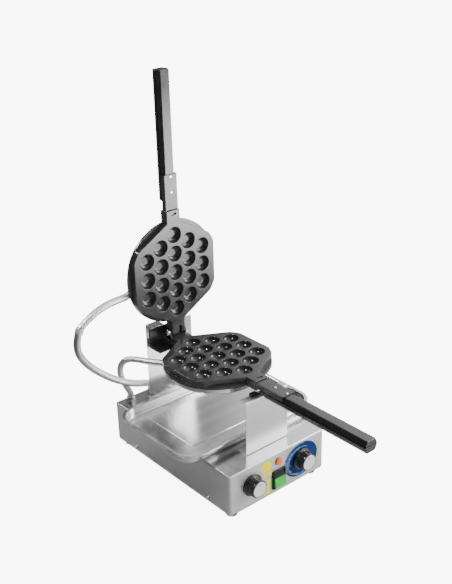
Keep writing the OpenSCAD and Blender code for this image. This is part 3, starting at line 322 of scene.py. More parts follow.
def bent(points, t, r, n=5):
    """Outline of a sheet of thickness t along a path of 2D points, bends of inner radius r."""
    def offset(side):
        out = []
        for i, p in enumerate(points):
            p = Vector(p)
            if i in (0, len(points) - 1):
                q = Vector(points[1]) - p if i == 0 else p - Vector(points[-2])
                nrm = Vector((-q.y, q.x)).normalized()
                out.append(p + nrm * t / 2 * side)
                continue
            d0 = (p - Vector(points[i - 1])).normalized()
            d1 = (Vector(points[i + 1]) - p).normalized()
            turn = d0.x * d1.y - d0.y * d1.x
            half = math.acos(max(-1, min(1, d0.dot(d1)))) / 2
            rad = r + (t if side * turn < 0 else 0)
            mid = r + t / 2
            centre = p + (d1 - d0).normalized() * mid / math.cos(half)
            start = Vector((-d0.y, d0.x)) * (-1 if turn > 0 else 1)
            for k in range(n + 1):
                a = (2 * half) * k / n * (1 if turn > 0 else -1)
                v = Vector((start.x * math.cos(a) - start.y * math.sin(a),
                            start.x * math.sin(a) + start.y * math.cos(a)))
                out.append(centre + v * rad)
        return out
    return offset(1) + list(reversed(offset(-1)))


def extrude(name, outline, a, b, to3, **kw):
    """A prism of a 2D outline from a to b; to3(u, v, w) places a point. Ends are caps."""
    bm = bmesh.new()
    skin(bm, [[Vector(to3(p[0], p[1], w)) for p in outline] for w in (a, b)])
    return obj_from(name, bm, **kw)


def done(o, body, slot_name, replaced=(), mat=None):
    o.data.materials.clear()
    o.data.materials.append(mat or MATS[slot_name])
    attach(o, body)
    if replaced:
        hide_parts(*replaced)
    return o


def join(name, objs):
    """One object from several, their meshes joined."""
    bm = bmesh.new()
    for o in objs:
        me = o.data
        me.transform(o.matrix_world)
        bm.from_mesh(me)
    for o in objs:
        bpy.data.objects.remove(o, do_unlink=True)
    return obj_from(name, bm)


# The pans' frames come from the joints. In its own frame each plate's face is up, at z = 0.
joint_at = {j["name"]: j.get("pos_m") for j in frame["joints"]}
HINGE = Vector(joint_at["lid"])
LID_Y, LID_Z = joint_at["lid"][1:]
FLIP_Z = joint_at["flip"][2]
GAP = 0.4 * MM
HINGE_BACK = 134.7 * MM
HINGE_UP = LID_Z - FLIP_Z
PAN_FWD = HINGE_BACK - LID_Y
LOWER = Matrix.Translation((0, -PAN_FWD, FLIP_Z - GAP / 2))
UPPER = (Matrix.Translation(HINGE) @ Matrix.Rotation(math.radians(-90), 4, "X")
         @ Matrix.Translation((0, -HINGE_BACK, GAP / 2 - HINGE_UP)) @ Matrix.Scale(-1, 4, (0, 0, 1)))
PANS = (("lower", LOWER, "lower_pan"), ("upper", UPPER, "upper_pan"))


def mm(pairs):
    return [(a * MM, b * MM) for a, b in pairs]


def place(bm, m):
    """Moves a mesh into the world; a mirroring frame turns its faces over."""
    bmesh.ops.transform(bm, matrix=m, verts=bm.verts)
    if m.determinant() < 0:
        bmesh.ops.reverse_faces(bm, faces=bm.faces)


# tray
def make_tray():
    lo, hi = box("tray")
    w, d = hi.x - lo.x, hi.y - lo.y
    y, z0, h = (lo.y + hi.y) / 2, lo.z, hi.z - lo.z
    r, field_w, field_d = 45 * MM, 224 * MM, 118 * MM

    def rect(e, z):
        return round_rect(w - 2 * e, d - 2 * e, r - e, z0 + z, 14, 0, y)

    def field(e, z):
        corner = max(1.6 * MM - e, 0.3 * MM)
        return round_rect(field_w - 2 * e, field_d - 2 * e, corner, z0 + z, 14, 0, y)
    m = MM
    rings = [rect(0, h - 3 * m), rect(0, h - 0.5 * m), rect(0.15 * m, h - 0.15 * m), rect(0.5 * m, h),
             rect(6.6 * m, h), rect(7.6 * m, h - 0.25 * m), rect(8.3 * m, h - 0.9 * m),
             rect(8.8 * m, h - 2.2 * m), rect(9.6 * m, 6 * m), rect(10.1 * m, 3.9 * m),
             rect(11 * m, 2.3 * m), rect(12.4 * m, 1.2 * m), rect(14.5 * m, 0.8 * m),
             field(-0.8 * m, 0.8 * m), field(-0.4 * m, 0.95 * m), field(0.4 * m, 2.15 * m),
             field(0.8 * m, 2.3 * m)]
    under = [field(1.7 * m, 1.5 * m), field(-0.2 * m, 0), rect(13.6 * m, 0), rect(11.6 * m, 0.5 * m),
             rect(10.2 * m, 1.9 * m), rect(9.2 * m, 3.9 * m), rect(8.8 * m, 6 * m),
             rect(8.05 * m, h - 3 * m), rect(7.4 * m, h - 1.2 * m), rect(6.6 * m, h - 0.8 * m),
             rect(0.8 * m, h - 0.8 * m), rect(0.8 * m, h - 3 * m)]
    bm = bmesh.new()
    skin(bm, rings, (False, True))
    skin(bm, under + [rings[0]], (True, False))
    o = obj_from("drip_tray", bm, smooth=24)
    return done(o, "tray", "tray_steel", ["tray"])


# base
def pierce(o, tools):
    """Takes the closed tools out of the closed piece o."""
    for t in tools:
        b = o.modifiers.new("hole", "BOOLEAN")
        b.solver = "EXACT"
        b.object = t
    dg = bpy.context.evaluated_depsgraph_get()
    me = bpy.data.meshes.new_from_object(o.evaluated_get(dg))
    o.modifiers.clear()
    o.data = me
    for t in tools:
        bpy.data.objects.remove(t, do_unlink=True)


def block(lo, hi):
    bm = bmesh.new()
    skin(bm, [[Vector((x, y, z)) for x, y in ((lo[0], lo[1]), (hi[0], lo[1]), (hi[0], hi[1]),
                                              (lo[0], hi[1]))] for z in (lo[2], hi[2])])
    return obj_from("tool", bm, weighted=False)


def make_base():
    lo, hi = box("base_shell")
    w, d = hi.x - lo.x, hi.y - lo.y
    r, e, t = 3 * MM, 2.2 * MM, 1.2 * MM
    rings = [round_rect(w - 2 * t, d - 2 * t, r - t, hi.z - t, 5),
             round_rect(w - 2 * t, d - 2 * t, r - t, lo.z, 5),
             round_rect(w, d, r, lo.z, 5), round_rect(w, d, r, hi.z - e, 5)]
    for i in range(1, 6):
        a = math.pi / 2 * i / 5
        k = e * (1 - math.cos(a))
        rings.append(round_rect(w - 2 * k, d - 2 * k, r - k, hi.z - e + e * math.sin(a), 5))
    bm = bmesh.new()
    skin(bm, rings)
    o = obj_from("base_shell_dressed", bm, smooth=40)
    # vents and the cord gland's hole in the rear wall
    vent_w, vent_z0, vent_z1 = 4 * MM, lo.z + 25 * MM, lo.z + 65 * MM
    tools = [block((x * MM, hi.y - 2 * t, vent_z0), (x * MM + vent_w, hi.y + t, vent_z1))
             for x in range(-60, 20, 10)]
    gland_x, gland_z, gland_r = 70 * MM, lo.z + 30 * MM, 7.2 * MM
    m = Matrix.Translation((gland_x, hi.y, gland_z)) @ Matrix.Rotation(math.pi / 2, 4, "X")
    tools.append(lathe("tool", [(gland_r, -2 * t), (gland_r, 3 * t)], 32, m, weighted=False))
    pierce(o, tools)
    return done(o, "base", "base_steel", ["base_shell"])


def make_feet():
    lo, hi = box("feet")
    r = 12 * MM
    fx, fy = hi.x - r, hi.y - r
    p = [(4.6, 0), (r / MM - 1, 0), (r / MM, 1), (r / MM - 1.5, 11.2), (r / MM - 2.2, 12), (4.6, 12)]
    objs = [lathe("foot", mm(p), 40, Matrix.Translation((x, y, 0)))
            for x, y in ((0, 0), (-fx, -fy), (fx, -fy), (-fx, fy), (fx, fy))]
    return done(join("rubber_feet", objs), "base", "rubber", ["feet"])


def screw_at(m, head_d=8 * MM, h=2.4 * MM):
    """A pan head with a round sunk socket, head up on z = 0 of m."""
    r = head_d / 2
    s = head_d * 0.2
    prof = [(0.1 * MM, -1 * MM), (r * 0.5, -1 * MM), (r * 0.96, 0), (r, 0.15 * MM), (r, h * 0.45)]
    prof += [(r * math.cos(a), h * (0.45 + 0.55 * math.sin(a))) for a in (0.35, 0.7, 1.0)]
    prof += [(r * 0.42, h), (r * 0.38, h - 0.12 * MM), (s, h * 0.35), (0.1 * MM, h * 0.3)]
    return lathe("head", prof, 24, m)


SHEET = 1.5 * MM
SHEET_BEND = 1.2 * MM


def make_support():
    lo, hi = box("front_support")
    t, lip = SHEET, 18 * MM
    y0, y1, yb = lo.y + t / 2, lo.y + lip, hi.y
    z0, z1 = lo.z + t / 2, hi.z - t / 2
    outline = bent([(yb, z0), (y0, z0), (y0, z1), (y1, z1)], t, SHEET_BEND)
    o = extrude("support_front", outline, lo.x, hi.x, lambda u, v, w: (w, u, v))
    done(o, "base", "base_steel", ["front_support"], MATS["sheet_steel"])


def make_upright():
    lo, hi = box("rear_upright")
    t, tall_w = SHEET, 30 * MM
    y = hi.y - t / 2
    foot = hi.y - 17 * MM
    z_tall, z_low = hi.z - t / 2, FLIP_Z + 17 * MM
    tall = bent([(foot, lo.z + t / 2), (y, lo.z + t / 2), (y, z_tall), (lo.y, z_tall)], t, SHEET_BEND)
    low = bent([(foot, lo.z + t / 2), (y, lo.z + t / 2), (y, z_low)], t, SHEET_BEND)
    a = extrude("l", tall, lo.x, lo.x + tall_w, lambda u, v, w: (w, u, v))
    b = extrude("r", low, lo.x + tall_w, hi.x, lambda u, v, w: (w, u, v))
    done(join("upright_rear", [a, b]), "base", "base_steel", ["rear_upright"])
    lo, hi = box("pivot_bracket")
    t = 2 * MM
    shelf, y = 12 * MM, hi.y - t / 2
    out = bent([(lo.y, lo.z + t / 2), (y, lo.z + t / 2), (y, hi.z)], t, 1 * MM)
    a = extrude("shelf", out, lo.x, shelf, lambda u, v, w: (w, u, v))
    z0 = lo.z + 3 * MM
    leg = [(y - t / 2, hi.z), (y - t / 2, z0), (y + t / 2, z0), (y + t / 2, hi.z)]
    b = extrude("leg", leg, shelf, hi.x, lambda u, v, w: (w, u, v))
    done(join("bracket", [a, b]), "base", "dark_paint", ["pivot_bracket"])


# pans
R_PLATE = 111.1 * MM
APOTHEM = 101.7 * MM
STEP = 12 * MM
DEPTH = 17.5 * MM
PITCH = 40.55 * MM
CUP_R = 16.8 * MM
CUP_H = 13 * MM
CUP_POWER = {"lower": 2.1, "upper": 2.7}
CUP_SEGS = 64
LIP = 0.9 * MM
NECK = 16.5 * MM
NECK_H = 20 * MM
NECK_ROOT = 100 * MM
NECK_REACH = 133.6 * MM
NECK_BACK = 142 * MM
SLOT = (2 * MM, 8 * MM, 122.7 * MM)
COVER_R = 100 * MM
COVER_H = 17 * MM
SCREW_RING = 40 * MM


def screw_places():
    for a in (90, 210, 330):
        yield Vector((math.cos(math.radians(a)), math.sin(math.radians(a)), 0)) * SCREW_RING


def cup_centres():
    """Nineteen places on a hexagonal grid, in columns of 3, 4, 5, 4 and 3."""
    for c in range(-2, 3):
        for k in range(5 - abs(c)):
            yield Vector((c * PITCH * math.sqrt(3) / 2, (k - (4 - abs(c)) / 2) * PITCH))


def cup_profile(power):
    """A rounded lip, then a steep wall that turns into a flatter bottom, as (radius, z)."""
    prof = [(CUP_R + LIP * (1 - math.sin(a)), -LIP * (1 - math.cos(a))) for a in
            (0, 0.27, 0.54, 0.8, 1.07, 1.34)]
    r0, z0 = prof[-1]
    turn, steps = 2 / power, 18
    for k in range(1, steps):
        t = math.pi / 2 * k / steps
        prof.append((max(0.3 * MM, r0 * math.cos(t) ** turn), z0 - (CUP_H + z0) * math.sin(t) ** turn))
    return prof + [(0.1 * MM, -CUP_H)]


def face_outline():
    """The raised face: a hexagon cut by a circle, open where a neck leaves each end."""
    pts = []
    R = R_PLATE - 0.15 * MM
    n = 240
    for i in range(n):
        a = 2 * math.pi * (i + 0.5) / n
        s = (a + math.pi / 6) % (math.pi / 3) - math.pi / 6
        r = min(R, APOTHEM / math.cos(s))
        x, y = r * math.cos(a), r * math.sin(a)
        if abs(x) >= NECK + 1.5 * MM:
            pts.append(Vector((x, y)))
    return pts


def with_necks(pts, front, backwards, slot=None):
    """Puts the neck corners and small fillets into the outline, counter-clockwise."""
    out = []
    fillet, corner = 1.5 * MM, 0.8 * MM
    for i, p in enumerate(pts):
        q = pts[(i + 1) % len(pts)]
        out.append(p)
        if (q - p).length < 10 * MM:
            continue
        s = 1 if p.y > 0 else -1
        reach = backwards if s > 0 else front
        x, flare = NECK * s, fillet * s * 0.35
        y0 = (abs(p.y) - 0.3 * MM) * s
        near, far = y0 + fillet * 0.3 * s, y0 + fillet * 1.2 * s
        out += [Vector((x + flare, near)), Vector((x, far))]
        for side in (s, -s):
            c = Vector((side * (NECK - corner), s * (reach - corner)))
            for k in range(4):
                a = math.pi / 2 * k / 3
                u, v = math.cos(a), math.sin(a)
                if side != s:
                    u, v = v, u
                out.append(c + Vector((side * u, s * v)) * corner)
            if slot and s > 0 and side == s:
                x0, x1, y = slot
                out += [Vector((x1, reach)), Vector((x1, y)), Vector((x0, y)), Vector((x0, reach))]
        out += [Vector((-x, far)), Vector((-x - flare, near))]
    return out


def inset(pts, e):
    """The outline moved inwards by e. Sharp corners move no further than about three times e."""
    out = []
    n = len(pts)
    for i in range(n):
        a, p, b = pts[i - 1], pts[i], pts[(i + 1) % n]
        d0, d1 = (p - a).normalized(), (b - p).normalized()
        n0, n1 = Vector((-d0.y, d0.x)), Vector((-d1.y, d1.x))
        m = n0 + n1
        m = m / max(0.35, m.length_squared / 2) if m.length > 1e-9 else n0
        out.append(p + m * e)
    return out


def inside(p, loop):
    hit = False
    for a, b in zip(loop, [loop[-1]] + loop):
        if (a.y > p.y) != (b.y > p.y) and p.x < (b.x - a.x) * (p.y - a.y) / (b.y - a.y) + a.x:
            hit = not hit
    return hit


def pit_outline():
    """A round pit with a short groove, in the front neck."""
    c, r = Vector((5, -126)) * MM, 2.5 * MM
    heading, half_w, groove = math.radians(160), 1 * MM, 10 * MM
    way = Vector((math.cos(heading), math.sin(heading)))
    across = Vector((-way.y, way.x)) * half_w
    mouth = math.asin(half_w / r)
    turns = [heading + mouth + (2 * math.pi - 2 * mouth) * i / 20 for i in range(21)]
    pit = [c + Vector((math.cos(a), math.sin(a))) * r for a in turns]
    return pit + [c + way * groove - across, c + way * groove + across]


def open_face(bm, top, cups, pit):
    """The flat face within the outline, left open at the cups and the pit."""
    loops = [[p.xy for p in top]]
    loops += [[p.xy for p in circle(c.x, c.y, CUP_R + LIP, 0, CUP_SEGS)] for c in cups]
    loops.append(pit)
    verts, edges = [], []
    for loop in loops:
        base = len(verts)
        verts += loop
        edges += [(base + i, base + (i + 1) % len(loop)) for i in range(len(loop))]
    res = delaunay_2d_cdt(verts, edges, [], 1, 1e-7)
    vs = [bm.verts.new((v.x, v.y, 0)) for v in res[0]]
    for face in res[2]:
        c = sum((res[0][i] for i in face), Vector((0, 0))) / 3
        if not inside(c, pit) and all((c - q).length >= CUP_R + LIP * 0.98 for q in cups):
            bm.faces.new([vs[i] for i in face])


def cast_face(bm, pts, power):
    """The raised part with its softened edge, and what is sunk into it."""
    edge, pit_depth = 0.9 * MM, 6 * MM
    rings = []
    for k in range(5):
        a = math.pi / 2 * k / 4
        e, z = edge * (1 - math.sin(a)), -edge * (1 - math.cos(a))
        rings.append([Vector((p.x, p.y, z)) for p in inset(pts, e)])
    for z in (-STEP + 0.6 * MM, -STEP - 0.2 * MM):
        rings.append([Vector((p.x, p.y, z)) for p in pts])
    skin(bm, rings, (False, True))
    cups, pit = list(cup_centres()), pit_outline()
    open_face(bm, rings[0], cups, pit)
    prof = cup_profile(power)
    for c in cups:
        skin(bm, [circle(c.x, c.y, r, z, CUP_SEGS) for r, z in prof], (False, True))
    skin(bm, [[Vector((p.x, p.y, z)) for p in pit] for z in (0, -pit_depth)], (False, True))


def cast_ledge(bm):
    """The round ledge below the face, with the underside."""
    R, inner, edge = R_PLATE, 60 * MM, 0.8 * MM
    prof = [(inner, -STEP - 0.1 * MM), (R - edge, -STEP)]
    prof += [(R - edge + edge * math.sin(a), -STEP - edge + edge * math.cos(a)) for a in
             (0.4, 0.8, 1.2, math.pi / 2)]
    prof += [(R, -DEPTH + edge), (R - edge, -DEPTH), (inner, -DEPTH)]
    skin(bm, [circle(0, 0, r, z, 192) for r, z in prof])


def cast_front(bm):
    """The front neck, its tenon, and bosses for the cover screws."""
    def soft_block(x, y0, y1, z0, z1, r=0.8 * MM):
        mid = (y0 + y1) / 2
        w, d = 2 * x, y1 - y0
        skin(bm, [round_rect(w - 2 * r, d - 2 * r, r * 0.4, z0, 3, 0, mid),
                  round_rect(w - r * 0.6, d - r * 0.6, r * 0.8, z0 + r * 0.3, 3, 0, mid),
                  round_rect(w, d, r, z0 + r, 3, 0, mid), round_rect(w, d, r, z1, 3, 0, mid)])
    soft_block(NECK, -NECK_REACH, -NECK_ROOT, -NECK_H, -STEP)
    soft_block(14.9 * MM, -148.4 * MM, -133 * MM, -13 * MM, -4.6 * MM)
    for v in screw_places():
        skin(bm, [circle(v.x, v.y, 5 * MM, z, 24) for z in (-DEPTH + 0.1 * MM, -33.4 * MM)])


def prism_x(bm, poly, x0, x1):
    skin(bm, [[Vector((x, p[0], p[1])) for p in poly] for x in (x0, x1)])


def upper_hinge(bm):
    """The slotted hinge block with its round knuckle."""
    up, chamfer = HINGE_UP - GAP / 2, 2 * MM
    r = up - 0.15 * MM
    prof = [(NECK_ROOT, -NECK_H), (HINGE_BACK - chamfer, -NECK_H), (HINGE_BACK, -NECK_H + chamfer)]
    prof += [(HINGE_BACK + r * math.sin(a), -up - r * math.cos(a)) for a in
             [math.pi * k / 14 for k in range(1, 14)]]
    prof += [(HINGE_BACK, -up + r), (HINGE_BACK, -STEP), (NECK_ROOT, -STEP)]
    x0, x1, y = SLOT
    prism_x(bm, prof, -NECK, x0)
    prism_x(bm, prof, x1, NECK)
    prism_x(bm, [(NECK_ROOT, -NECK_H), (y, -NECK_H), (y, -STEP), (NECK_ROOT, -STEP)], x0, x1)


def lower_hinge(bm):
    """Two ears beside the pin, the bridge under them and the boss of the flip shaft."""
    up = HINGE_UP + GAP / 2
    ear_x, ear_t, ear_r, bridge_h = 17 * MM, 3.3 * MM, 7 * MM, 6 * MM
    y0, y1, boss_r, boss_l = 101 * MM, 151.5 * MM, 11 * MM, 5 * MM
    for s in (-1, 1):
        poly = [(HINGE_BACK - ear_r, -bridge_h), (HINGE_BACK + ear_r, -bridge_h)]
        poly += arc(HINGE_BACK, up, ear_r, 0, 180, 16)
        prism_x(bm, poly, *sorted((s * ear_x, s * (ear_x + ear_t))))
    skin(bm, [round_rect(2 * (ear_x + ear_t), y1 - y0, 1.5 * MM, z, 4, 0, (y0 + y1) / 2)
              for z in (-bridge_h, -0.05 * MM)])
    skin(bm, [[Vector((p.x, y, GAP / 2 + p.y)) for p in circle(0, 0, boss_r, 0, 40)]
              for y in (y1 - boss_l, y1)])


def make_casting(which, mat4, body):
    upper = which == "upper"
    pts = with_necks(face_outline(), NECK_REACH, HINGE_BACK if upper else NECK_BACK,
                     SLOT if upper else None)
    bm = bmesh.new()
    cast_face(bm, pts, CUP_POWER[which])
    cast_ledge(bm)
    cast_front(bm)
    place(bm, mat4)
    plate = obj_from(which + "_casting", bm, smooth=28)
    bm = bmesh.new()
    (upper_hinge if upper else lower_hinge)(bm)
    place(bm, mat4)
    hinge = obj_from("hinge_end", bm, smooth=28)
    return done(join(which + "_cast_plate", [plate, hinge]), body, "cast_iron", [which + "_plate"])


def into_world(o, mat4):
    """Moves a piece made in a pan's frame."""
    o.data.transform(mat4)
    if mat4.determinant() < 0:
        o.data.flip_normals()


def make_cover(which, mat4, body):
    R, e, t = COVER_R, 4 * MM, 1 * MM
    bottom = -DEPTH - COVER_H
    prof = [(0.5 * MM, bottom), (R - e, bottom)] + arc(R - e, bottom + e, e, -80, 0, 8)
    prof += [(R, -DEPTH), (R - t, -DEPTH), (R - t, bottom + e)]
    prof += arc(R - e, bottom + e, e - t, 0, -80, 6) + [(R - e, bottom + t), (0.5 * MM, bottom + t)]
    o = lathe(which + "_cover_shell", prof, 160, None, smooth=30)
    into_world(o, mat4)
    return done(o, body, "cover_steel", [which + "_cover"])


def make_cover_screws(which, mat4, body):
    heads = []
    for v in screw_places():
        at = mat4 @ Matrix.Translation((v.x, v.y, -DEPTH - COVER_H)) @ Matrix.Rotation(math.pi, 4, "X")
        heads.append(screw_at(at, 8 * MM, 2 * MM))
    done(join(which + "_cover_screw_heads", heads), body, "bolts", [which + "_cover_screws"])


CHANNEL_TOP = -3 * MM


def make_channel(which, mat4, body):
    t, half_w, leg = SHEET, 16.5 * MM, 10 * MM
    near, far = -135.1 * MM, -207.3 * MM
    w, z0, z1 = half_w - t / 2, CHANNEL_TOP - leg, CHANNEL_TOP - t / 2
    outline = bent([(-w, z0), (-w, z1), (w, z1), (w, z0)], t, 0.8 * MM)
    o = extrude(which + "_channel_sheet", outline, near, far, lambda u, v, y: (u, y, v))
    into_world(o, mat4)
    done(o, body, "dark_paint", [which + "_channel"])
    head = mm([(1.5, -1.4), (3, 0), (3, 0.25), (2.7, 0.75), (2, 0.95), (0.2, 1)])
    objs = [lathe("rivet", head, 24, mat4 @ Matrix.Translation((0, y, CHANNEL_TOP)))
            for y in (-170.7 * MM, -202.7 * MM)]
    done(join(which + "_rivet_heads", objs), body, "bolts", [which + "_rivets"])


def grip_section():
    """Ten-sided, narrow at top and bottom, each corner rounded by a curve."""
    base = mm([(-10.5, 0), (-14.8, -8.5), (-16, -11.5), (-14.8, -18.75), (-10.5, -25), (10.5, -25),
               (14.8, -18.75), (16, -11.5), (14.8, -8.5), (10.5, 0)])
    pts = [Vector(p) for p in base]
    tight, soft, plain = 1.4 * MM, 2.6 * MM, 2.2 * MM
    radius = {0: tight, 9: tight, 4: soft, 5: soft}
    out = []
    for i, p in enumerate(pts):
        a, b = pts[i - 1], pts[(i + 1) % len(pts)]
        r = radius.get(i, plain)
        p0, p1 = p - (p - a).normalized() * r, p + (b - p).normalized() * r
        for k in range(5):
            u = k / 4
            out.append(p0 * (1 - u) ** 2 + p * 2 * u * (1 - u) + p1 * u ** 2)
    return out


def make_handle(which, mat4, body):
    top, mid = -4.9 * MM, Vector((0, -12.5 * MM))
    rings = []
    for y, s in ((153, 0.93), (153.6, 0.975), (154.6, 1), (200, 1), (300, 1), (409.6, 1), (410.4, 0.985),
                 (411, 0.95), (411.3, 0.9)):
        ring = [mid + (q - mid) * s for q in grip_section()]
        rings.append([Vector((q.x, -y * MM, top + q.y)) for q in ring])
    bm = bmesh.new()
    skin(bm, rings)
    place(bm, mat4)
    o = obj_from(which + "_grip", bm, smooth=40)
    done(o, body, "handle_black", [which + "_handle"])


# hoses
EVEN_PASSES = 40


def smooth_path(pts, n):
    """A curve through the points (in mm), evened out except near its ends."""
    pts = [Vector(p) * MM for p in pts]
    out = []
    for i in range(len(pts) - 1):
        a, b, c, d = pts[max(i - 1, 0)], pts[i], pts[i + 1], pts[min(i + 2, len(pts) - 1)]
        for k in range(n):
            t = k / n
            bow = (2 * a - 5 * b + 4 * c - d) * t * t + (3 * b - a - 3 * c + d) * t ** 3
            out.append(0.5 * (2 * b + (c - a) * t + bow))
    out.append(pts[-1])
    for _ in range(EVEN_PASSES):
        out = out[:n + 1] + [out[i] + (out[i - 1] + out[i + 1] - 2 * out[i]) * 0.4
                             for i in range(n + 1, len(out) - n - 1)] + out[-n - 1:]
    return out


def tube(name, path, d, segs=20):
    """A round cord along the path, with the map named way running round and along it."""
    bm = bmesh.new()
    rings = []
    nrm = None
    for i, p in enumerate(path):
        t = (path[min(i + 1, len(path) - 1)] - path[max(i - 1, 0)]).normalized()
        if nrm is None:
            nrm = t.orthogonal().normalized()
        nrm = (nrm - t * nrm.dot(t)).normalized()
        b = t.cross(nrm)
        rings.append([p + q.x * nrm + q.y * b for q in circle(0, 0, d / 2, 0, segs)])
    faces = skin(bm, rings)
    way = bm.loops.layers.uv.new("way")
    run = 0.0
    for i in range(len(path) - 1):
        step = (path[i + 1] - path[i]).length
        for k in range(segs):
            for lp, (u, v) in zip(faces[i * segs + k].loops, ((0, 0), (1, 0), (1, 1), (0, 1))):
                lp[way].uv = ((k + u) / segs, (run + v * step) / (math.pi * d))
        run += step
    return obj_from(name, bm, weighted=False)


# routes in mm. Each hose leaves its cover's side at the gland and ends in a gland on the base.
GLAND_REACH = 106.3
UPPER_TURN, LOWER_TURN = math.radians(195), math.radians(129.5)
UPPER_OUT = Vector((math.cos(UPPER_TURN), 0, math.sin(UPPER_TURN)))
LOWER_OUT = Vector((math.cos(LOWER_TURN), math.sin(LOWER_TURN), 0))
COVER_MID = DEPTH + 8 * MM
UPPER_MID = Vector((0, (LID_Y - HINGE_UP + GAP / 2 + COVER_MID) / MM, (LID_Z + HINGE_BACK) / MM))
LOWER_MID = Vector((0, -PAN_FWD / MM, (FLIP_Z - GAP / 2 - COVER_MID) / MM))
UPPER_START = UPPER_MID + GLAND_REACH * UPPER_OUT
LOWER_START = LOWER_MID + GLAND_REACH * LOWER_OUT
UNION = Vector((-225, 140, 322))
WAY = Vector((-20, 0, -40)).normalized()
BASE_TOP = box("base_shell")[1].z / MM
UPPER_GLAND = Vector((-38, 175.5, BASE_TOP))
LOWER_GLAND = Vector((-94, 175.5, BASE_TOP))
BEND = Vector((-2.5, -0.6, 23))
LEAD = Vector((0, 0, 16))
SEAT = Vector((0, 0, 9.3))
UPPER_ROUTE = [UPPER_START, UPPER_START + 10 * UPPER_OUT, (-130, 141, 359), (-154, 141, 359.5),
               (-178, 140, 355), (-203, 140, 342), UNION - 7 * WAY, UNION - 0.3 * WAY]
DROP_ROUTE = [UNION + 0.3 * WAY, UNION + 7 * WAY, (-236, 140, 298), (-235, 140, 277), (-225, 140, 255),
              (-202, 141, 229), (-179, 142, 208), (-154, 143, 186), (-131, 145, 171), (-104, 151, 155),
              (-82, 161, 140), (-60, 169.5, 131.5), UPPER_GLAND + BEND, UPPER_GLAND + LEAD,
              UPPER_GLAND + SEAT]
LOWER_ROUTE = [LOWER_START, LOWER_START + 10 * LOWER_OUT, (-93, 101, 220), (-107, 121, 226),
               (-119, 143, 227), (-126, 158, 211), (-128, 161, 192), (-124, 163, 172), (-113, 168, 148),
               LOWER_GLAND + BEND, LOWER_GLAND + LEAD, LOWER_GLAND + SEAT]


def make_hoses():
    for name, route, d, a, b, node in (
            ("hose_upper_run", UPPER_ROUTE, 15, "upper_pan", "lower_pan", "upper_hose_run"),
            ("hose_upper_drop", DROP_ROUTE, 15, "lower_pan", "base", "upper_hose_drop"),
            ("hose_lower", LOWER_ROUTE, 13, "lower_pan", "base", "lower_hose")):
        path = smooth_path(route, 6)
        o = tube(name, path, d * MM)
        o.data.materials.append(MATS["hose_braid"])
        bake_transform(o)
        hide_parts(node)


# controls
PANEL_Y = box("panel_label")[0].y
KNOB_GAP = 0.8 * MM
FLUTES = 18


def on_panel(node, y):
    """A frame at the node's middle on the panel, its z pointing out of it."""
    lo, hi = box(node)
    at = Matrix.Translation(((lo.x + hi.x) / 2, y, (lo.z + hi.z) / 2))
    return at @ Matrix.Rotation(math.pi / 2, 4, "X")


def make_knob(which):
    m = on_panel(which + "_knob", PANEL_Y - KNOB_GAP)
    skirt, rim = 5.2 * MM, 22.4 * MM

    def flute(a, r, z):
        if z < skirt or z > rim or r < 16.2 * MM:
            return r
        return r - 1.3 * MM * max(0.0, math.cos(FLUTES * a)) ** 0.6 * min(1, (z - skirt) / (1 * MM))
    p = [(8, 0), (22.4, 0), (23, 0.5), (23, 3.6), (22.6, 4.2), (21.8, 4.5), (19.8, 4.7), (19.2, 5.2),
         (19, 6.5), (18.9, 12), (18.6, 19.5), (18.3, 21.4), (17.6, 22.6), (16.6, 23), (16, 22.7),
         (15.8, 22), (1, 22)]
    o = lathe(which + "_knob_body", mm(p), 216, m, flute, smooth=30)
    done(o, which + "_knob", "knob_black", [which + "_knob"])
    p = [(15.7, 22), (15.75, 23.1), (15.3, 23.5), (14.6, 23.6), (13.6, 23.35), (4, 23.2), (0.1, 23.2)]
    c = lathe(which + "_cap_disc", mm(p), 96, m, smooth=30)
    done(c, which + "_knob", "cap_silver", [which + "_cap"])
    bm = bmesh.new()
    skin(bm, [round_rect(1.4 * MM, 6 * MM, 0.5 * MM, z, 3, 0, 10.6 * MM) for z in (23 * MM, 23.4 * MM)])
    place(bm, m)
    line = obj_from(which + "_pointer", bm)
    done(line, which + "_knob", "knob_black")


def make_switch():
    lo, hi = box("switch_body")
    w, h = hi.x - lo.x, hi.z - lo.z
    m = on_panel("switch_body", PANEL_Y)
    bm = bmesh.new()
    rings = [round_rect(w - 2 * e * MM, h - 2 * e * MM, r * MM, z * MM, 5) for e, r,
             z in ((3.5, 0.5, -11), (3.5, 0.5, 3), (3.2, 0.7, 3.6), (2.7, 0.9, 3.8), (2.5, 1, 3.3),
                   (2, 1.2, 3.3), (1.8, 1.3, 3.9), (1.2, 1.6, 4), (0.5, 1.9, 3.7), (0, 2.2, 3),
                   (0, 2.2, 0), (2, 1, 0), (2, 1, -21.9))]
    skin(bm, rings)
    place(bm, m)
    done(obj_from("switch_bezel", bm), "base", "black_plastic", ["switch_body"])


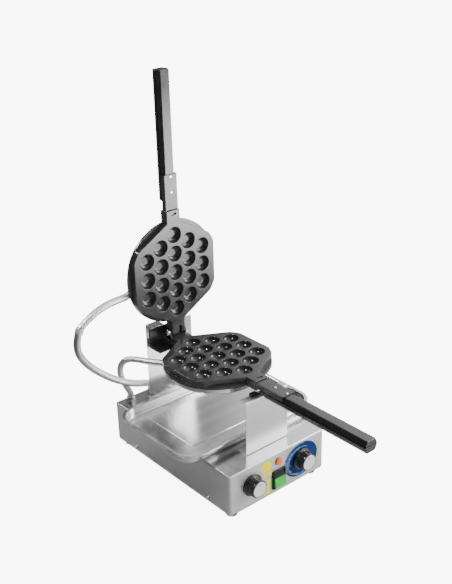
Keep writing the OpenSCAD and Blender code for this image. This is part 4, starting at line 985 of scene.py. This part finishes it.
def make_rocker():
    """Two halves in the switch's frame, the lower one a lit lens."""
    lo, hi = box("switch_body")
    half = (hi.x - lo.x) / 2 - 3.8 * MM
    m = on_panel("switch_body", PANEL_Y)

    def paddle(name, outline):
        bm = bmesh.new()
        rings = [(-half, 0.5), (-half + 0.15 * MM, 0.15), (-half + 0.5 * MM, 0), (half - 0.5 * MM, 0),
                 (half - 0.15 * MM, 0.15), (half, 0.5)]
        skin(bm, [[Vector((x, p.x, p.y)) for p in inset([Vector(q) * MM for q in outline], e * MM)]
                  for x, e in rings])
        place(bm, m)
        return obj_from(name, bm, smooth=25)
    sag = [(v, 9.6 - (v + 15) * 0.2 - 0.5 * math.sin(math.pi * (v + 15) / 19)) for v in range(-13, 4, 2)]
    lens = [(4.6, -4), (4.6, 5.7)] + list(reversed(sag))
    lens += [(-14.6, 9.8), (-15.4, 9.5), (-15.7, 8.8), (-15.7, 4), (-14.2, -4)]
    back = [(14.2, -4), (15.7, 1), (15.4, 1.6), (14.8, 1.8), (10, 3.4), (6, 5), (5.2, 5.4), (4.8, 5.4),
            (4.8, -4)]
    a = paddle("rocker_lens", lens)
    done(a, "rocker", "rocker_green", ["rocker"])
    b = paddle("rocker_back", back)
    done(b, "rocker", "rocker_green", mat=MATS["black_plastic"])


def make_lamp():
    m = on_panel("lamp_body", PANEL_Y)
    p = [(0.1, -7), (5.4, -7), (5.4, 1), (8.2, 1), (8.5, 0.8), (8.5, 0), (6.5, 0), (6.5, -15.9),
         (0.1, -15.9)]
    o = lathe("lamp_bezel", mm(p), 64, m)
    done(o, "base", "black_plastic", ["lamp_body"])
    p = [(0.1, -6.9), (5.3, -6.9), (5.3, 1.05), (7.8, 1.05), (8, 1.5), (7.8, 3), (7.3, 3.9), (6.4, 4.4),
         (4, 4.5), (0.1, 4.5)]
    o = lathe("lamp_lens_dome", mm(p), 64, m)
    done(o, "base", "lens_orange", ["lamp_lens"])


def make_print():
    """Plain shapes on the panel. Points are x and height above the base's underside, in mm."""
    ink, feet = 0.05 * MM, 12
    field = (62, 47, 46, 38)

    def shapes(name, loops, tone, level=0):
        bm = bmesh.new()
        for lp in loops:
            a, b = PANEL_Y - ink * level, PANEL_Y - ink * (level + 1)
            skin(bm, [[Vector((x * MM, y, (feet + z) * MM)) for x, z in lp] for y in (a, b)])
        done(obj_from(name, bm, weighted=False), "base", "label", mat=PRINT[tone])

    def disc(x, z, r, n=64):
        return arc(x, z, r, 0, 360 * (n - 1) / n, n - 1)

    def band(x, z, r0, r1, a0, a1, n=32):
        return arc(x, z, r1, a0, a1, n) + arc(x, z, r0, a1, a0, n)

    def bar(x, z, w, h):
        return [(p.x / MM, p.y / MM)
                for p in round_rect(w * MM, h * MM, w * MM / 2, 0, 6, x * MM, z * MM)]

    def on_field(loop):
        return [(field[0] + field[2] * x, field[1] + field[3] * z) for x, z in loop]
    shapes("print_field", [on_field(disc(0, 0, 1))], "blue")
    shapes("print_rings", [on_field(band(0, 0, k, k + 0.025, a, a + 130)) for k, a in
                           ((0.7, 60), (0.76, 95), (0.82, 130), (0.88, 165), (0.94, 80))], "sky", 1)
    shapes("print_beads", [disc(62 + r * math.cos(a), 46.5 + r * math.sin(a), 1.1, 20) for r, a in
                           ((26.3, 1.9), (31.3, 2.7), (28.8, 3.3), (33.8, 3.7), (35.8, 3.6))], "pale", 2)
    shapes("print_sweep", [band(62, 46.5, 47.5, 51, -40, 36)], "pale")
    shapes("print_dots", [disc(-32, 70, 13.5, 48), disc(-21.5, 50, 5.5, 40), disc(-36, 50.5, 4, 32)],
           "yellow")
    shapes("print_bars", [bar(-26, 23, 9, 38), bar(-37, 18, 5, 24)], "yellow")
    ticks = [band(-70.5, 48.8, 25.5, 28.5, a - 1, a + 1, 2) for a in range(-60, 241, 25)]
    shapes("print_ticks", ticks, "ink")


def make_hinge():
    lo, hi = box("hinge_pin")
    m = Matrix.Translation((0, HINGE.y, HINGE.z)) @ Matrix.Rotation(math.pi / 2, 4, "Y")
    x = [lo.x, lo.x + 5.5 * MM, hi.x]
    p = [(0.2 * MM, x[0]), (5 * MM, x[0]), (6.2 * MM, x[0] + 0.7 * MM), (6.5 * MM, x[0] + 1.6 * MM),
         (6.5 * MM, x[1]), (3 * MM, x[1]), (3 * MM, x[2] - 0.4 * MM), (2.6 * MM, x[2]), (0.2 * MM, x[2])]
    o = lathe("hinge_bolt", p, 48, m)
    done(o, "lower_pan", "bolts", ["hinge_pin"])


make_tray()
make_base()
make_feet()
make_support()
make_upright()
for which, m4, body_ in PANS:
    make_casting(which, m4, body_)
    make_cover(which, m4, body_)
    make_channel(which, m4, body_)
    make_handle(which, m4, body_)
    make_cover_screws(which, m4, body_)
make_hoses()
make_knob("timer")
make_knob("thermostat")
make_switch()
make_rocker()
make_lamp()
make_print()
make_hinge()

# camera, floor and light
# The view was fitted to the photo: its height and the focal length in pixels, the eye and three angles.
PHOTO_H = 584
FOCAL_PX = 914.066
SENSOR = 36
EYE = Vector((-1.035778, -1.2833, 1.108109))
azimuth, height, roll = (math.radians(v) for v in (-39.859, 23.757, -1.513))
back = Vector((math.sin(azimuth) * math.cos(height), -math.cos(azimuth) * math.cos(height),
               math.sin(height)))
right = (-back).cross(Vector((0, 0, 1))).normalized()
up = right.cross(-back).normalized()
image_x = math.cos(roll) * right + math.sin(roll) * up
image_y = -math.sin(roll) * right + math.cos(roll) * up
cam_data = bpy.data.cameras.new("camera")
cam = bpy.data.objects.new("camera", cam_data)
bpy.context.scene.collection.objects.link(cam)
rot = Matrix((image_x, image_y, back)).transposed().to_4x4()
cam.matrix_world = Matrix.Translation(EYE) @ rot
cam_data.sensor_fit = "VERTICAL"
cam_data.sensor_height = SENSOR
cam_data.lens = FOCAL_PX / PHOTO_H * SENSOR
cam_data.clip_start = 0.05
cam_data.clip_end = 50
cam_data.dof.use_dof = False
bpy.context.scene.camera = cam


def plane(name, size, loc, mat):
    me = bpy.data.meshes.new(name)
    s = size / 2
    me.from_pydata([(-s, -s, 0), (s, -s, 0), (s, s, 0), (-s, s, 0)], [], [(0, 1, 2, 3)])
    o = bpy.data.objects.new(name, me)
    bpy.context.scene.collection.objects.link(o)
    o.location = loc
    me.materials.append(mat)
    return o


def stage_mat(name, nt_make):
    m = bpy.data.materials.new(name)
    m.use_nodes = True
    nt = m.node_tree
    nt.nodes.clear()
    out = nt.nodes.new("ShaderNodeOutputMaterial")
    nt.links.new(nt_make(nt), out.inputs["Surface"])
    return m


def floor_shader(nt):
    """Pale and matt; metal sees its colour painted darker far to the left, a painted dark reflection that camera
    and matt rays don't see.
    """
    b = nt.nodes.new("ShaderNodeBsdfPrincipled")
    b.inputs["Roughness"].default_value = 0.9
    geo = nt.nodes.new("ShaderNodeNewGeometry")
    # painted reflection: for glossy rays only, the floor's colour is painted dark far to the left
    painted_reflection_fade = ramp(nt, along(nt, geo.outputs["Position"], (1, 0, 0)), -0.5, -0.2, 0.08, 0.9)
    lp = nt.nodes.new("ShaderNodeLightPath")
    tone = mix(nt, painted_reflection_fade, (0.0, 0.0, 0.0), (0.95, 0.95, 0.95))
    n = noise(nt, 3)
    pale = mix(nt, ramp(nt, n.outputs["Fac"], 0.3, 0.7, 0, 1), (0.94, 0.94, 0.94), (0.96, 0.96, 0.96))
    nt.links.new(mix(nt, lp.outputs["Is Glossy Ray"], pale, tone), b.inputs["Base Color"])
    b.inputs["Emission Color"].default_value = (1, 1, 1, 1)
    nt.links.new(ramp(nt, lp.outputs["Is Camera Ray"], 0, 1, 0, FLOOR_LIFT), b.inputs["Emission Strength"])
    return b.outputs["BSDF"]


def card_shader(nt):
    """Brighter with the distance from the part."""
    geo = nt.nodes.new("ShaderNodeNewGeometry")
    far = along(nt, geo.outputs["Position"], (1, -1, 0))
    e = nt.nodes.new("ShaderNodeEmission")
    nt.links.new(ramp(nt, far, 0.95, 2.1, 0, CARD), e.inputs["Strength"])
    return e.outputs["Emission"]


FLOOR_LIFT = 8.0
CARD = 18.0
plane("floor", 30, (0, 0, -0.0005), stage_mat("m_floor", floor_shader))
card = plane("card", 2.2, (1.45, -1.45, 0.004), stage_mat("m_card", card_shader))
card.visible_camera = False
card.visible_diffuse = False
card.visible_shadow = False

world = bpy.data.worlds.new("world")
bpy.context.scene.world = world
world.use_nodes = True
wt = world.node_tree
sky = wt.nodes["Background"]
# Reflections see a sky that is brighter high up and behind, and dim to the left of the view. Matt surfaces
# see a softer one, and the camera sees the same white as the lit floor.
tc = wt.nodes.new("ShaderNodeTexCoord")
high = along(wt, tc.outputs["Generated"], (0.6, 0.35, 0.5))
side = along(wt, tc.outputs["Generated"], (0.768, -0.641, 0))
both = wt.nodes.new("ShaderNodeMath")
both.operation = "MULTIPLY"
wt.links.new(ramp(wt, high, -0.1, 0.8, 0.06, 2.4), both.inputs[0])
wt.links.new(ramp(wt, side, -0.01, 0.08, 0.1, 1.0), both.inputs[1])
seen = both.outputs[0]
lp = wt.nodes.new("ShaderNodeLightPath")
soft = ramp(wt, high, -0.8, 0.8, 0.1, 0.8)


def pick(fac, a, b):
    m = wt.nodes.new("ShaderNodeMix")
    wt.links.new(fac, m.inputs[0])
    wt.links.new(a, m.inputs[2])
    if isinstance(b, float):
        m.inputs[3].default_value = b
    else:
        wt.links.new(b, m.inputs[3])
    return m.outputs[0]


level = pick(lp.outputs["Is Camera Ray"], pick(lp.outputs["Is Glossy Ray"], soft, seen), 1.0 + FLOOR_LIFT)
wt.links.new(level, sky.inputs["Strength"])
sky.inputs["Color"].default_value = (1, 1, 1, 1)


def area(name, loc, target, size, power, lights_matt=True):
    d = bpy.data.lights.new(name, "AREA")
    d.shape = "SQUARE"
    d.size = size
    d.energy = power
    o = bpy.data.objects.new(name, d)
    bpy.context.scene.collection.objects.link(o)
    o.location = loc
    o.rotation_euler = (Vector(target) - Vector(loc)).to_track_quat("-Z", "Y").to_euler()
    o.visible_diffuse = lights_matt


area("key", (2.4, -1.9, 1.6), (0, 0, 0.3), 1.8, 120)
# these two only show as reflections, in the cups and on rounded edges
area("spots", (-1.25, -0.05, 2.1), (0, 0, 0.25), 0.2, 50, False)
area("edges", (-0.88, 1.55, 1.55), (0, 0, 0.1), 0.35, 18, False)
